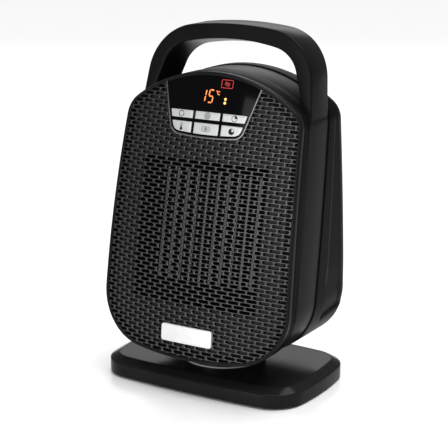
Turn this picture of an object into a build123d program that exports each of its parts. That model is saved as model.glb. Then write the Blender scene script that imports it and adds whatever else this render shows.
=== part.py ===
from build123d import *
import os
from math import cos, radians, sin, sqrt, tan

# Ceramic space heater with a carrying handle, on a base that it swings on.
# Millimetres, +Z up. The origin is on the table, under the swing axis, and the front faces -Y.

os.makedirs("parts", exist_ok=True)

# ---------------------------------------------------------------- driving dimensions
# base
FOOT_HEIGHT = 1.5
FOOT_RADIUS = 5.5
FOOT_INSET = 19.0           # foot centres, inside the base's half width and half depth
BASE_HALF_WIDTH = 96.9
BASE_HALF_DEPTH = 61.8
BASE_SIDE_BOW = 4.4         # how far each long side bows out over its length
BASE_END_BOW = 6.2          # the same for the two short ends
BASE_CORNER = 30.0
BASE_BAND = 11.2            # height of the upright band round the base
BEVEL_RISE = 4.6
BEVEL_RUN = 8.4
BASE_WALL = 2.4
PLATE_THICKNESS = 2.4
BASE_SCREW_INSET_X = 46.9   # screw centres, inside the base's half width and half depth
BASE_SCREW_INSET_Y = 25.8
GLAND_RADIUS = 4.6
GLAND_BORE = 3.3
GLAND_LIP = 1.4

# heater body, seen from the front
BODY_BOTTOM = 30.5
BODY_HEIGHT = 237.6
HIP_HALF = 91.2             # half width at the lower corners, before rounding
SHOULDER_STEP = 7.0         # how much narrower each side is at the shoulder
SIDE_BULGE = 1.2
TOP_RADIUS = 127.0
BOTTOM_RADIUS = 350.0
SHOULDER_ROUND = 22.0
HIP_ROUND = 46.0
WALL = 2.5

# heater body, seen from the side
LEAN = 11.43                # backward lean of the front, degrees
FACE_DROP = 112.2           # middle of the front face, below the top
FACE_FORWARD = 45.65        # middle of the front face, in front of the swing axis
BODY_DEPTH = 110.0          # from the middle of the front face to the rear wall
REAR_ROUND = 24.0
TAIL_START = 9.0            # the underside rises behind this distance from the axis
TAIL_RISE = 11.0
PLAN_RADIUS = 485.0         # curve of the front face from side to side
RISE_RADIUS = 1067.0        # curve of the front face from top to bottom

# handle band, between the front and rear casings
BAND_FRONT = 27.5
BAND_DEPTH = 29.0
BAND_INSET = 0.8
BAND_WALL = 2.7
ARCH_RISE = 36.4            # top of the handle above the body
ARCH_HALF = 75.5            # half width of the handle at its top corners
ARCH_SPREAD = 7.0           # how much wider the legs are at the shoulders
ARCH_CROWN = 320.0
ARCH_ROUND = 45.0
GRIP_THICKNESS = 9.5
GRIP_HALF = 60.0
GRIP_SPREAD = 15.0
GRIP_CROWN = 206.0
GRIP_ROUND = 26.0
GRIP_FRONT = -2.0           # the grip opening narrows from here
GRIP_REAR = 42.0            # to here
GRIP_DRAFT = 8.0            # by this much all round

# front face pieces
BEZEL_WIDTH = 3.2
BEZEL_PROUD = 1.0
BEZEL_DEPTH = 4.0
GRILLE_THICKNESS = 2.0
SLOT_PITCH = 33.0
SLOT_LENGTH = 30.6
ROW_PITCH = 3.346
SLOT_HEIGHT = 2.4
BAFFLE_GAP = 0.6
BAFFLE_THICKNESS = 1.6
LEDGE_WIDTH = 4.6
WINDOW_WIDTH = 120.0
WINDOW_HEIGHT = 122.0
WINDOW_DROP = 19.0          # centre of the window below the middle of the face
DUCT_WALL = 2.0

# display panel and buttons
PANEL_TOP_HALF = 46.8
PANEL_TOP = 111.0           # both heights are above the middle of the face
PANEL_LOW_HALF = 33.0
PANEL_BOTTOM = 63.8
PANEL_CORNER = 9.0
PANEL_SAG = 1.8             # how far the lower edge bows down in the middle
PANEL_PROUD = 0.4
PANEL_THICKNESS = 2.2
TRIM_WIDTH = 1.7
TRIM_PROUD = 0.9
BUTTON_PROUD = 0.7
BUTTON_TRAVEL = 0.6
BUTTON_CLEARANCE = 0.3
BUTTON_DEPTH = 5.0
MIDDLE_HALF = 12.2
BUTTON_GAP = 1.8
UPPER_ROW_TOP = 82.6
UPPER_ROW_HEIGHT = 7.0
ROW_GAP = 2.4
PANEL_RIM = 1.2             # black edge left round the buttons
SWITCH_HEIGHT = 4.1         # of a push switch, above the board
DISPLAY_W = 96.0            # centre of the digits above the middle of the face
DISPLAY_WIDTH = 44.0
DISPLAY_HEIGHT = 15.0
CARRIER_POSTS = [(-30, 88), (30, 88), (-34, 97), (34, 97)]
BOARD_DEPTH = 13.0
BOARD_WIDTH = 80.0
BOARD_HEIGHT = 42.0
BOARD_THICKNESS = 1.6
BADGE_WIDTH = 49.5
BADGE_HEIGHT = 14.6
BADGE_CORNER = 2.5
BADGE_THICKNESS = 2.4
BADGE_RISE = 24.0           # centre of the badge above the bottom of the body

# heating element
PTC_RECESS = 23.2           # front of the element behind the front face
PTC_DEPTH = 15.0
PTC_HALF_WIDTH = 46.3
PTC_HEIGHT = 94.0
PTC_LIFT = 4.8              # element centre above the window centre
TUBE_COUNT = 10
TUBE_WIDTH = 2.4
TUBE_WALL = 0.4
FIN_PITCH = 3.0
FIN_THICKNESS = 0.25
FRAME_WALL = 3.0
FLANGE_MARGIN = 3.0
FLANGE_THICKNESS = 2.5
CUTOUT_RADIUS = 7.0
CUTOUT_THICKNESS = 6.0
FUSE_RADIUS = 2.0
FUSE_LENGTH = 16.0

# fan and its motor
FAN_RADIUS = 49.5
TIP_GAP = 2.0
SHROUD_WALL = 2.0
SHROUD_DEPTH = 22.0
FAN_HUB_RADIUS = 16.0
FAN_HUB_DEPTH = 14.0
BLADE_COUNT = 7
BLADE_CHORD = 21.0
BLADE_PITCH = 35.0
BLADE_THICKNESS = 1.8
MOTOR_MOUNT_RADIUS = 25.0   # disc in the middle of the shroud's spokes
SHAFT_RADIUS = 1.6
SHAFT_CLEARANCE = 0.05
ROTOR_RADIUS = 11.0
ROTOR_GAP = 0.5
STATOR_DEPTH = 16.0
STATOR_WIDTH = 56.0
STATOR_HEIGHT = 46.0
STATOR_LIMB = 9.0
MOTOR_SPACER = 3.5
BRACKET_THICKNESS = 2.5
BRACKET_HALF = 22.0

# rear intake
INTAKE_WIDTH = 112.0
INTAKE_HEIGHT = 118.0
INTAKE_RISE = 92.0          # centre of the intake above the bottom of the body
INTAKE_SLOT = 4.0
INTAKE_SLOT_PITCH = 8.0
FILTER_THICKNESS = 3.0

# swivel and its drive
POST_RADIUS = 8.0
POST_BORE = 5.5
POST_TOP = 37.5
POST_FLANGE = 20.0
FLANGE_HEIGHT = 2.5
COLLAR_RADIUS = 36.0
COLLAR_WALL = 3.0
COLLAR_DISC = 25.0          # height of the underside of the bearing disc
COLLAR_DISC_THICKNESS = 2.5
COLLAR_BOSS = 11.0
CLIP_HEIGHT = 35.0
CLIP_THICKNESS = 1.2
RING_THICKNESS = 0.7
RUNNING_GAP = 0.3
CRANK_OFFSET = 17.0         # crank shaft behind the swing axis
CRANK_RADIUS = 9.8
CRANK_PIN = 2.0
CRANK_SHAFT = 2.5
CRANK_ARM = 3.0
FORK_THICKNESS = 2.8
FORK_PLAY = 1.0
MOTOR_RADIUS = 14.0
MOTOR_HEIGHT = 19.0
MOTOR_OFFSET = 8.0
SHELF_HEIGHT = 39.0
SHELF_THICKNESS = 2.0
SHELF_HALF = 36.0
TIP_SWITCH_RADIUS = 6.5
TIP_SWITCH_HEIGHT = 15.0
TIP_SWITCH_SPOT = (-27.0, 8.0)

# fasteners
SCREW_RADIUS = 1.5
SCREW_PLAY = 0.1
HEAD_RADIUS = 2.8
HEAD_HEIGHT = 1.6
BOSS_RADIUS = 4.2
SHOULDER_BOSS_INSET = 8.5   # upper casing bosses, inside the shoulder's half width
HIP_BOSS_INSET = 11.5       # lower casing bosses, inside the hip's half width
BOSS_HEADROOM = 48.0
BOSS_FOOTROOM = 42.0

# ---------------------------------------------------------------- derived places
PLATE_TOP = FOOT_HEIGHT + PLATE_THICKNESS
BASE_TOP = FOOT_HEIGHT + BASE_BAND + BEVEL_RISE
BASE_CEILING = BASE_TOP - BASE_WALL
BODY_TOP = BODY_BOTTOM + BODY_HEIGHT
SHOULDER_HALF = HIP_HALF - SHOULDER_STEP
FACE_Y = -FACE_FORWARD
FACE_Z = BODY_TOP - FACE_DROP
REAR_Y = FACE_Y + BODY_DEPTH
BAND_REAR = BAND_FRONT + BAND_DEPTH
WINDOW_W = -WINDOW_DROP
PTC_W = WINDOW_W + PTC_LIFT
PANEL_LOWEST = PANEL_BOTTOM - PANEL_SAG
LOWER_ROW_TOP = UPPER_ROW_TOP - UPPER_ROW_HEIGHT - ROW_GAP
SIDE_BUTTON_INNER = MIDDLE_HALF + BUTTON_GAP
SHROUD_FRONT = PTC_RECESS + PTC_DEPTH + 3.8
SHROUD_REAR = SHROUD_FRONT + SHROUD_DEPTH
SHROUD_RADIUS = FAN_RADIUS + TIP_GAP
MOTOR_FRONT = SHROUD_REAR + BRACKET_THICKNESS
STATOR_FRONT = MOTOR_FRONT + MOTOR_SPACER
STATOR_REAR = STATOR_FRONT + STATOR_DEPTH
MOTOR_REAR = STATOR_REAR + MOTOR_SPACER
COLLAR_FOOT = BASE_TOP + RING_THICKNESS + RUNNING_GAP
FORK_TOP = BASE_TOP + FORK_THICKNESS
ARM_BOTTOM = FORK_TOP + 3 * RUNNING_GAP
UPPER_BOSS = (SHOULDER_HALF - SHOULDER_BOSS_INSET, BODY_TOP - BOSS_HEADROOM)
LOWER_BOSS = (HIP_HALF - HIP_BOSS_INSET, BODY_BOTTOM + BOSS_FOOTROOM)
BOSS_SPOTS = [(side * x, z) for x, z in (UPPER_BOSS, LOWER_BOSS) for side in (-1, 1)]
INTAKE_Z = BODY_BOTTOM + INTAKE_RISE
GLAND_Z = FOOT_HEIGHT + BASE_BAND / 2
SWITCH_GAP = BUTTON_TRAVEL + 0.2
SWITCH_TOP = BOARD_DEPTH - SWITCH_HEIGHT
BOARD_W = UPPER_ROW_TOP + 1.0
MODULE_BOLT_X = WINDOW_WIDTH / 2 + DUCT_WALL + FLANGE_MARGIN - 4.0
MODULE_BOLT_W = WINDOW_HEIGHT / 2 + DUCT_WALL + FLANGE_MARGIN - 4.0
FAR = 200.0                 # more than any half size, for cutting blocks


def four_spots(x, y):
    return [(side * x, end * y) for side in (-1, 1) for end in (-1, 1)]


FOOT_SPOTS = four_spots(BASE_HALF_WIDTH - FOOT_INSET, BASE_HALF_DEPTH - FOOT_INSET)
BASE_SCREW_SPOTS = four_spots(BASE_HALF_WIDTH - BASE_SCREW_INSET_X, BASE_HALF_DEPTH - BASE_SCREW_INSET_Y)
POST_SCREW_SPOTS = four_spots(POST_FLANGE / 2, POST_FLANGE / 2)

# The front face's own plane: X across, Y up the lean, Z out of the front.
FACE = Plane(
    origin=(0, FACE_Y, FACE_Z),
    x_dir=(1, 0, 0),
    z_dir=(0, -cos(radians(LEAN)), sin(radians(LEAN))),
)


# ---------------------------------------------------------------- shared shapes
def sagitta(radius, half_chord):
    return radius - sqrt(radius * radius - half_chord * half_chord)


def body_outline(inset=0.0):
    """Outline of the body as X and height, moved inwards by inset."""
    shoulder = (SHOULDER_HALF, BODY_TOP - sagitta(TOP_RADIUS, SHOULDER_HALF))
    hip = (HIP_HALF, BODY_BOTTOM + sagitta(BOTTOM_RADIUS, HIP_HALF))
    waist = ((shoulder[0] + hip[0]) / 2 + SIDE_BULGE, (shoulder[1] + hip[1]) / 2)
    top = ThreePointArc((-shoulder[0], shoulder[1]), (0, BODY_TOP), shoulder)
    bottom = ThreePointArc((-hip[0], hip[1]), (0, BODY_BOTTOM), hip)
    side = ThreePointArc(shoulder, waist, hip)
    face = make_face([top, side, bottom, mirror(side, Plane.YZ)])
    face = fillet(face.vertices().group_by(Axis.Y)[-1], SHOULDER_ROUND)
    face = fillet(face.vertices().group_by(Axis.Y)[0], HIP_ROUND)
    if inset:
        face = offset(face, -inset)
    return face


def arch_outline(top, crown, half, spread, corner):
    """A handle arch as X and height: crowned top, rounded corners, legs that spread downwards."""
    corner_z = top - sagitta(crown, half)
    foot = (half + spread, BODY_TOP - sagitta(TOP_RADIUS, SHOULDER_HALF))
    crown_arc = ThreePointArc((-half, corner_z), (0, top), (half, corner_z))
    right = Line((half, corner_z), foot)
    sill = Line(foot, (-foot[0], foot[1]))
    face = make_face([crown_arc, right, sill, mirror(right, Plane.YZ)])
    return fillet(face.vertices().group_by(Axis.Y)[-1], corner)


def run_back(sketch, y_front, y_rear):
    """A sketch in X and height, run straight back between two distances."""
    return extrude(Plane.XZ.offset(-y_front) * sketch, amount=-(y_rear - y_front))


def body_prism(inset=0.0):
    return run_back(body_outline(inset), -FAR, FAR)


def body_form(inset=0.0):
    """The closed body, without its curved front: rounded at the rear, rising underneath."""
    block = run_back(body_outline(inset), -FAR, REAR_Y - inset)
    rear_edges = block.faces().sort_by(Axis.Y)[-1].edges()
    block = fillet(rear_edges, REAR_ROUND - inset)
    slope = TAIL_RISE / (REAR_Y - TAIL_START)
    tail = make_face(Polyline(
        (TAIL_START, BODY_BOTTOM + inset),
        (FAR, BODY_BOTTOM + inset + slope * (FAR - TAIL_START)),
        (FAR, -FAR),
        (TAIL_START, -FAR),
        close=True,
    ))
    wedge = extrude(Plane.YZ * tail, amount=FAR, both=True)
    return block - wedge


def on_face(shape):
    """Move a shape from the front face's own plane to its place."""
    return FACE.location * shape


def dome(depth):
    """Everything behind the convex front surface moved back by depth."""
    radius = RISE_RADIUS - depth
    drop = depth + sagitta(radius, FAR)
    profile = make_face([
        ThreePointArc((-FAR, -drop), (0, -depth), (FAR, -drop)),
        Polyline((FAR, -drop), (FAR, -PLAN_RADIUS), (-FAR, -PLAN_RADIUS), (-FAR, -drop)),
    ])
    return on_face(revolve(Plane.YZ * profile, Axis((0, 0, -PLAN_RADIUS), (0, 1, 0)), 360))


def curved_plate(front, rear):
    """The layer between two depths behind the front surface."""
    return dome(front) - dome(rear)


def through(sketch, front, rear):
    """A sketch in the face's plane, run square through it between two depths."""
    return on_face(extrude(Pos(0, 0, -rear) * sketch, amount=rear - front))


def slab(front, rear):
    """Everything between two planes parallel to the face's plane."""
    return through(Rectangle(2 * FAR, 2.4 * FAR), front, rear)


def spot(x, w, depth):
    """A place given in the face's plane, for round pieces square to it."""
    return FACE.location * Pos(x, w, -depth)


def rod(x, w, radius, front, rear):
    """A round bar square to the face's plane, between two depths."""
    return spot(x, w, (front + rear) / 2) * Cylinder(radius, rear - front)


def upright(radius, low, high, x=0.0, y=0.0):
    return Pos(x, y, (low + high) / 2) * Cylinder(radius, high - low)


# ---------------------------------------------------------------- base
def base_outline(inset=0.0):
    """The base from above: bowed sides and rounded corners, all moved inwards by inset."""
    half_width = BASE_HALF_WIDTH - inset
    half_depth = BASE_HALF_DEPTH - inset
    corner = (half_width - BASE_END_BOW, half_depth - BASE_SIDE_BOW)
    front = ThreePointArc((-corner[0], -corner[1]), (0, -half_depth), (corner[0], -corner[1]))
    end = ThreePointArc((corner[0], -corner[1]), (half_width, 0), corner)
    face = make_face([front, end, mirror(front, Plane.XZ), mirror(end, Plane.YZ)])
    return fillet(face.vertices(), BASE_CORNER - inset)


def base_form(inset, low, high):
    """The base's bevelled block, moved inwards by inset."""
    block = extrude(Pos(0, 0, low) * base_outline(inset), amount=high - low)
    top = block.faces().sort_by(Axis.Z)[-1]
    return chamfer(top.edges(), BEVEL_RUN, BEVEL_RISE, reference=top)


def base_shell():
    shell = base_form(0, FOOT_HEIGHT, BASE_TOP) - base_form(BASE_WALL, 0, BASE_CEILING)
    for x, y in BASE_SCREW_SPOTS:
        shell += upright(BOSS_RADIUS, PLATE_TOP, BASE_CEILING + 1, x, y)
        shell -= upright(SCREW_RADIUS + SCREW_PLAY, 0, BASE_CEILING - 1, x, y)
    for x, y in POST_SCREW_SPOTS:
        shell -= upright(SCREW_RADIUS + SCREW_PLAY, 0, BASE_TOP - 1, x, y)
    shell -= upright(POST_RADIUS + RUNNING_GAP, 0, FAR)
    shell -= Pos(0, BASE_HALF_DEPTH, GLAND_Z) * Rot(90, 0, 0) * Cylinder(GLAND_RADIUS, 12)
    return shell


def base_plate():
    plate = extrude(Pos(0, 0, FOOT_HEIGHT) * base_outline(BASE_WALL + RUNNING_GAP), PLATE_THICKNESS)
    for x, y in BASE_SCREW_SPOTS:
        plate -= upright(SCREW_RADIUS + SCREW_PLAY, 0, FAR, x, y)
        plate -= upright(HEAD_RADIUS + RUNNING_GAP, 0, FOOT_HEIGHT + HEAD_HEIGHT, x, y)
    relief = Cylinder(GLAND_RADIUS + 1 + RUNNING_GAP, 14)
    return plate - Pos(0, BASE_HALF_DEPTH, GLAND_Z) * Rot(90, 0, 0) * relief


def rubber_feet():
    feet = [upright(FOOT_RADIUS, 0, FOOT_HEIGHT, x, y) for x, y in FOOT_SPOTS]
    return Compound(children=feet)


def screw(length):
    """A screw that points up, with its head's outer face at the origin."""
    return upright(HEAD_RADIUS, 0, HEAD_HEIGHT) + upright(SCREW_RADIUS, HEAD_HEIGHT, length)


def base_screws():
    length = BASE_CEILING - FOOT_HEIGHT - 2
    return Compound(children=[Pos(x, y, FOOT_HEIGHT) * screw(length) for x, y in BASE_SCREW_SPOTS])


def pivot_post():
    low = BASE_CEILING - FLANGE_HEIGHT
    post = upright(POST_FLANGE, low, BASE_CEILING) + upright(POST_RADIUS, low, POST_TOP)
    post -= upright(POST_BORE, 0, FAR)
    for x, y in POST_SCREW_SPOTS:
        post -= upright(SCREW_RADIUS + SCREW_PLAY, 0, BASE_CEILING + 0.5, x, y)
    groove = upright(POST_RADIUS + 1, CLIP_HEIGHT, CLIP_HEIGHT + CLIP_THICKNESS)
    groove -= upright(POST_RADIUS - 1, 0, FAR)
    return post - groove


def post_screws():
    low = BASE_CEILING - FLANGE_HEIGHT - HEAD_HEIGHT
    length = BASE_TOP - 1.4 - low
    return Compound(children=[Pos(x, y, low) * screw(length) for x, y in POST_SCREW_SPOTS])


def post_clip():
    """Spring clip in the post's groove, open to one side so that it can be pushed on."""
    thickness = CLIP_THICKNESS - 0.1
    ring = upright(POST_RADIUS + 3, CLIP_HEIGHT + 0.05, CLIP_HEIGHT + 0.05 + thickness)
    ring -= upright(POST_RADIUS - 0.9, 0, FAR)
    return ring - Pos(POST_RADIUS, 0, CLIP_HEIGHT) * Box(2 * POST_RADIUS, POST_RADIUS, 6)


def slide_ring():
    ring = upright(COLLAR_RADIUS + 1, BASE_TOP, BASE_TOP + RING_THICKNESS)
    return ring - upright(COLLAR_RADIUS - COLLAR_WALL, 0, FAR)


def drive_fork():
    """Plate with a radial slot; the crank's pin pushes on the slot's sides."""
    near = sqrt(CRANK_OFFSET**2 + CRANK_RADIUS**2) - CRANK_PIN - FORK_PLAY
    far = CRANK_OFFSET + CRANK_RADIUS + CRANK_PIN + FORK_PLAY
    slot_width = 2 * (CRANK_PIN + FORK_PLAY)
    rim = 2.0
    plate = Pos(0, (near + far) / 2) * RectangleRounded(slot_width + 2 * rim, far - near + 2 * rim, rim)
    slot = Pos(0, (near + far) / 2) * RectangleRounded(slot_width, far - near, CRANK_PIN)
    return extrude(Pos(0, 0, BASE_TOP) * (plate - slot), FORK_THICKNESS)


def cord_gland():
    """Rubber bush with a lip each side of the base's rear wall."""
    inner = BASE_HALF_DEPTH - BASE_WALL
    bush = Cylinder(GLAND_RADIUS, BASE_WALL + 2 * GLAND_LIP)
    for side in (-1, 1):
        lip_middle = side * (BASE_WALL + GLAND_LIP) / 2
        bush += Pos(0, 0, lip_middle) * Cylinder(GLAND_RADIUS + 1, GLAND_LIP)
    bush -= Cylinder(GLAND_BORE, FAR)
    placed = Pos(0, inner + BASE_WALL / 2, GLAND_Z) * Rot(90, 0, 0) * bush
    wall = base_form(0, FOOT_HEIGHT, BASE_TOP) - base_form(BASE_WALL, 0, BASE_CEILING)
    hole = Pos(0, BASE_HALF_DEPTH, GLAND_Z) * Rot(90, 0, 0) * Cylinder(GLAND_RADIUS, 12)
    return placed - (wall - hole)


# ---------------------------------------------------------------- swivel and its drive
def swivel_collar():
    """Skirt under the body with a bearing disc that runs on the post."""
    skirt = upright(COLLAR_RADIUS, COLLAR_FOOT, BODY_BOTTOM + TAIL_RISE)
    skirt -= upright(COLLAR_RADIUS - COLLAR_WALL, 0, FAR)
    skirt -= body_form()
    disc_top = COLLAR_DISC + COLLAR_DISC_THICKNESS
    disc = upright(COLLAR_RADIUS - COLLAR_WALL / 2, COLLAR_DISC, disc_top)
    boss = upright(COLLAR_BOSS, COLLAR_DISC, CLIP_HEIGHT - 0.2)
    bore = upright(POST_RADIUS + SHAFT_CLEARANCE, 0, FAR)
    shaft_hole = upright(CRANK_SHAFT + 0.6, 0, FAR, 0, CRANK_OFFSET)
    return skirt + disc + boss - bore - shaft_hole


def swing_bracket():
    """Shelf on two legs inside the rear casing, for the swing motor and the tilt switch."""
    shelf_top = SHELF_HEIGHT + SHELF_THICKNESS
    depth_front = -4.0
    depth_rear = CRANK_OFFSET + MOTOR_OFFSET + MOTOR_RADIUS
    depth = depth_rear - depth_front
    middle = (depth_front + depth_rear) / 2
    shelf = Pos(0, middle, (SHELF_HEIGHT + shelf_top) / 2) * Box(2 * SHELF_HALF, depth, SHELF_THICKNESS)
    for side in (-1, 1):
        leg_x = side * (SHELF_HALF - SHELF_THICKNESS / 2)
        leg_height = shelf_top - BASE_TOP
        shelf += Pos(leg_x, middle, shelf_top - leg_height / 2) * Box(SHELF_THICKNESS, depth, leg_height)
    shelf -= upright(CRANK_SHAFT + 0.6, 0, FAR, 0, CRANK_OFFSET)
    return shelf & body_form(WALL)


def swing_motor():
    """Small geared stepper with its shaft off centre."""
    low = SHELF_HEIGHT + SHELF_THICKNESS
    y = CRANK_OFFSET + MOTOR_OFFSET
    can = upright(MOTOR_RADIUS, low, low + MOTOR_HEIGHT, 0, y)
    ears = Pos(0, y, low + 0.5) * Box(2 * MOTOR_RADIUS + 14, 7, 1)
    plug = Pos(0, y + MOTOR_RADIUS, low + MOTOR_HEIGHT / 2) * Box(14, 6, MOTOR_HEIGHT - 4)
    motor = can + ears + plug
    return motor - upright(CRANK_SHAFT + SHAFT_CLEARANCE, 0, low + 6, 0, CRANK_OFFSET)


def swing_crank():
    """Shaft, arm and pin; at rest the pin points straight away from the swing axis."""
    arm_top = ARM_BOTTOM + CRANK_ARM
    pin_y = CRANK_OFFSET + CRANK_RADIUS
    arm = Pos(0, (CRANK_OFFSET + pin_y) / 2) * SlotCenterToCenter(CRANK_RADIUS, 7, rotation=90)
    crank = extrude(Pos(0, 0, ARM_BOTTOM) * arm, CRANK_ARM)
    crank += upright(CRANK_PIN, BASE_TOP + RUNNING_GAP, ARM_BOTTOM, 0, pin_y)
    shaft_top = SHELF_HEIGHT + SHELF_THICKNESS + 5
    return crank + upright(CRANK_SHAFT, arm_top, shaft_top, 0, CRANK_OFFSET)


def tip_switch():
    """Sealed can with a ball that opens the circuit when the heater falls over."""
    low = SHELF_HEIGHT + SHELF_THICKNESS
    return upright(TIP_SWITCH_RADIUS, low, low + TIP_SWITCH_HEIGHT, *TIP_SWITCH_SPOT)


# ---------------------------------------------------------------- casing
def casing_bosses(front, rear):
    """Four screw bosses along the body, between two shapes that cut their ends."""
    bosses = []
    for x, z in BOSS_SPOTS:
        bar = Cylinder(BOSS_RADIUS, 2 * FAR) - Cylinder(SCREW_RADIUS + SCREW_PLAY, 2 * FAR)
        bosses.append(Pos(x, 0, z) * Rot(90, 0, 0) * bar & front & rear)
    return bosses


def panel_outline(grow=0.0):
    """The display panel in the face's plane: tapered, with rounded lower corners."""
    low = (PANEL_LOW_HALF, PANEL_BOTTOM)
    slope = (PANEL_TOP_HALF - PANEL_LOW_HALF) / (PANEL_TOP - PANEL_BOTTOM)
    high_w = PANEL_TOP + BOARD_HEIGHT
    high = (PANEL_TOP_HALF + slope * (high_w - PANEL_TOP), high_w)
    face = make_face([
        ThreePointArc((-low[0], low[1]), (0, PANEL_LOWEST), low),
        Polyline(low, high, (-high[0], high[1]), (-low[0], low[1])),
    ])
    face = fillet(face.vertices().group_by(Axis.Y)[0], PANEL_CORNER)
    if grow:
        face = offset(face, grow)
    return face


def window_outline(grow=0.0):
    size = (WINDOW_WIDTH + 2 * grow, WINDOW_HEIGHT + 2 * grow)
    return Pos(0, WINDOW_W) * RectangleRounded(*size, 3 + max(grow, 0))


def front_housing():
    """Front ring of the casing, with the ledge that the grille lies on."""
    inside = body_prism(WALL)
    ring = (body_prism() - inside) & dome(BEZEL_DEPTH) & slab(-FAR, BAND_FRONT)
    ledge_outer = body_prism(BEZEL_WIDTH + 0.2)
    ledge_inner = body_prism(BEZEL_WIDTH + LEDGE_WIDTH)
    ledge = (ledge_outer - ledge_inner) & curved_plate(GRILLE_THICKNESS + 0.2, BEZEL_DEPTH + 2)
    bridge = (body_prism(1) - ledge_inner) & curved_plate(BEZEL_DEPTH, BEZEL_DEPTH + 2)
    housing = ring + ledge + bridge
    for boss in casing_bosses(dome(BEZEL_DEPTH + 1), slab(-FAR, BAND_FRONT)):
        housing += boss & body_prism(1)
    housing -= through(panel_outline(TRIM_WIDTH + 0.4), -FAR, BEZEL_DEPTH + 1)
    return housing


def front_bezel():
    ring = body_prism() - body_prism(BEZEL_WIDTH)
    return ring & curved_plate(-BEZEL_PROUD, BEZEL_DEPTH)


def grille_slots():
    """Long slots in every row of the window; alternate rows are shifted by half a pitch."""
    slots = []
    rows = int(WINDOW_HEIGHT / ROW_PITCH)
    columns = int(WINDOW_WIDTH / SLOT_PITCH)
    for row in range(rows):
        w = WINDOW_W + (row - (rows - 1) / 2) * ROW_PITCH
        count = columns if row % 2 == 0 else columns - 1
        for column in range(count):
            x = (column - (count - 1) / 2) * SLOT_PITCH
            slots.append(spot(x, w, 0) * Box(SLOT_LENGTH, SLOT_HEIGHT, 30))
    return slots


def front_grille():
    plate = body_prism(BEZEL_WIDTH + 0.2) & curved_plate(0, GRILLE_THICKNESS)
    plate -= through(panel_outline(TRIM_WIDTH + 0.2), -FAR, FAR / 2)
    return plate - grille_slots()


def duct_frame():
    """Baffle behind the grille and the duct from the window back to the element."""
    front = GRILLE_THICKNESS + BAFFLE_GAP
    baffle = body_prism(BEZEL_WIDTH + LEDGE_WIDTH + 0.4) & curved_plate(front, front + BAFFLE_THICKNESS)
    baffle -= through(panel_outline(TRIM_WIDTH + 0.2), -FAR, FAR / 2)
    walls = through(window_outline(DUCT_WALL), 0, PTC_RECESS - RUNNING_GAP) & dome(front)
    return baffle + walls - through(window_outline(), -FAR, FAR / 2)


def grip_opening(draft):
    """The space for the hand as X and height, narrowed all round by draft."""
    top = BODY_TOP + ARCH_RISE - GRIP_THICKNESS - draft
    return arch_outline(top, GRIP_CROWN, GRIP_HALF - draft, GRIP_SPREAD, GRIP_ROUND)


def handle_band():
    """Middle casing part: a band round the body that rises over it as the carrying handle."""
    arch = arch_outline(BODY_TOP + ARCH_RISE, ARCH_CROWN, ARCH_HALF, ARCH_SPREAD, ARCH_ROUND)
    block = run_back(arch + body_outline(BAND_INSET), -FAR, FAR)
    opening = loft([
        Plane.XZ.offset(-GRIP_FRONT) * grip_opening(0),
        Plane.XZ.offset(-GRIP_REAR) * grip_opening(GRIP_DRAFT),
    ])
    block -= opening - body_prism(BAND_INSET)
    return (block & slab(BAND_FRONT, BAND_REAR)) - body_prism(BAND_INSET + BAND_WALL)


def intake_block(width, height, y_front, y_rear):
    size = RectangleRounded(width, height, 6)
    return run_back(Pos(0, INTAKE_Z) * size, y_front, y_rear)


def rear_housing():
    """Rear casing, open towards the band, with the intake opening and the holes for the swivel."""
    behind_band = slab(BAND_REAR, 2 * FAR)
    shell = (body_form() - body_form(WALL)) & behind_band
    inner_rear = REAR_Y - WALL
    lip = intake_block(INTAKE_WIDTH + 6, INTAKE_HEIGHT + 6, inner_rear - 2, inner_rear)
    lip -= intake_block(INTAKE_WIDTH - 6, INTAKE_HEIGHT - 6, 0, FAR)
    for boss in casing_bosses(body_form(1), behind_band):
        shell += boss
    shell -= intake_block(INTAKE_WIDTH + 0.6, INTAKE_HEIGHT + 0.6, inner_rear, FAR)
    shell += lip
    for x, z in BOSS_SPOTS:
        bore = Cylinder(HEAD_RADIUS + RUNNING_GAP, 2 * (REAR_ROUND + HEAD_HEIGHT))
        shell -= Pos(x, REAR_Y, z) * Rot(90, 0, 0) * bore
    shell -= upright(COLLAR_BOSS + 2, 0, BODY_BOTTOM + 12)
    return shell - upright(CRANK_SHAFT + 0.8, 0, BODY_BOTTOM + 12, 0, CRANK_OFFSET)


def intake_grille():
    """Rear cover with slots, set flush in the rear casing."""
    cover = intake_block(INTAKE_WIDTH, INTAKE_HEIGHT, REAR_Y - WALL, REAR_Y)
    rows = int((INTAKE_HEIGHT - 10) / INTAKE_SLOT_PITCH)
    slot_length = INTAKE_WIDTH / 2 - 10
    slots = []
    for row in range(rows):
        z = INTAKE_Z + (row - (rows - 1) / 2) * INTAKE_SLOT_PITCH
        for side in (-1, 1):
            x = side * (slot_length / 2 + 2.5)
            slots.append(Pos(x, REAR_Y, z) * Box(slot_length, 4 * WALL, INTAKE_SLOT))
    return cover - slots


def dust_filter():
    rear = REAR_Y - WALL - 2
    return intake_block(INTAKE_WIDTH - 2, INTAKE_HEIGHT - 2, rear - FILTER_THICKNESS, rear)


def housing_screws():
    """Four long screws from the rear, through the band's space, into the front casing's bosses."""
    head_face = REAR_Y - REAR_ROUND
    screws = []
    for x, z in BOSS_SPOTS:
        lean_back = (z - FACE_Z) * tan(radians(LEAN))
        tip = FACE_Y + lean_back + BAND_FRONT - 8
        screws.append(Pos(x, head_face, z) * Rot(90, 0, 0) * screw(head_face - tip))
    return Compound(children=screws)


# ---------------------------------------------------------------- display panel and buttons
# The six buttons: column from left to right, and row from the top.
BUTTONS = {
    "button_mode": (-1, 0),
    "button_power": (0, 0),
    "button_timer": (1, 0),
    "button_temp": (-1, 1),
    "button_swing": (0, 1),
    "button_hold": (1, 1),
}


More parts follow.
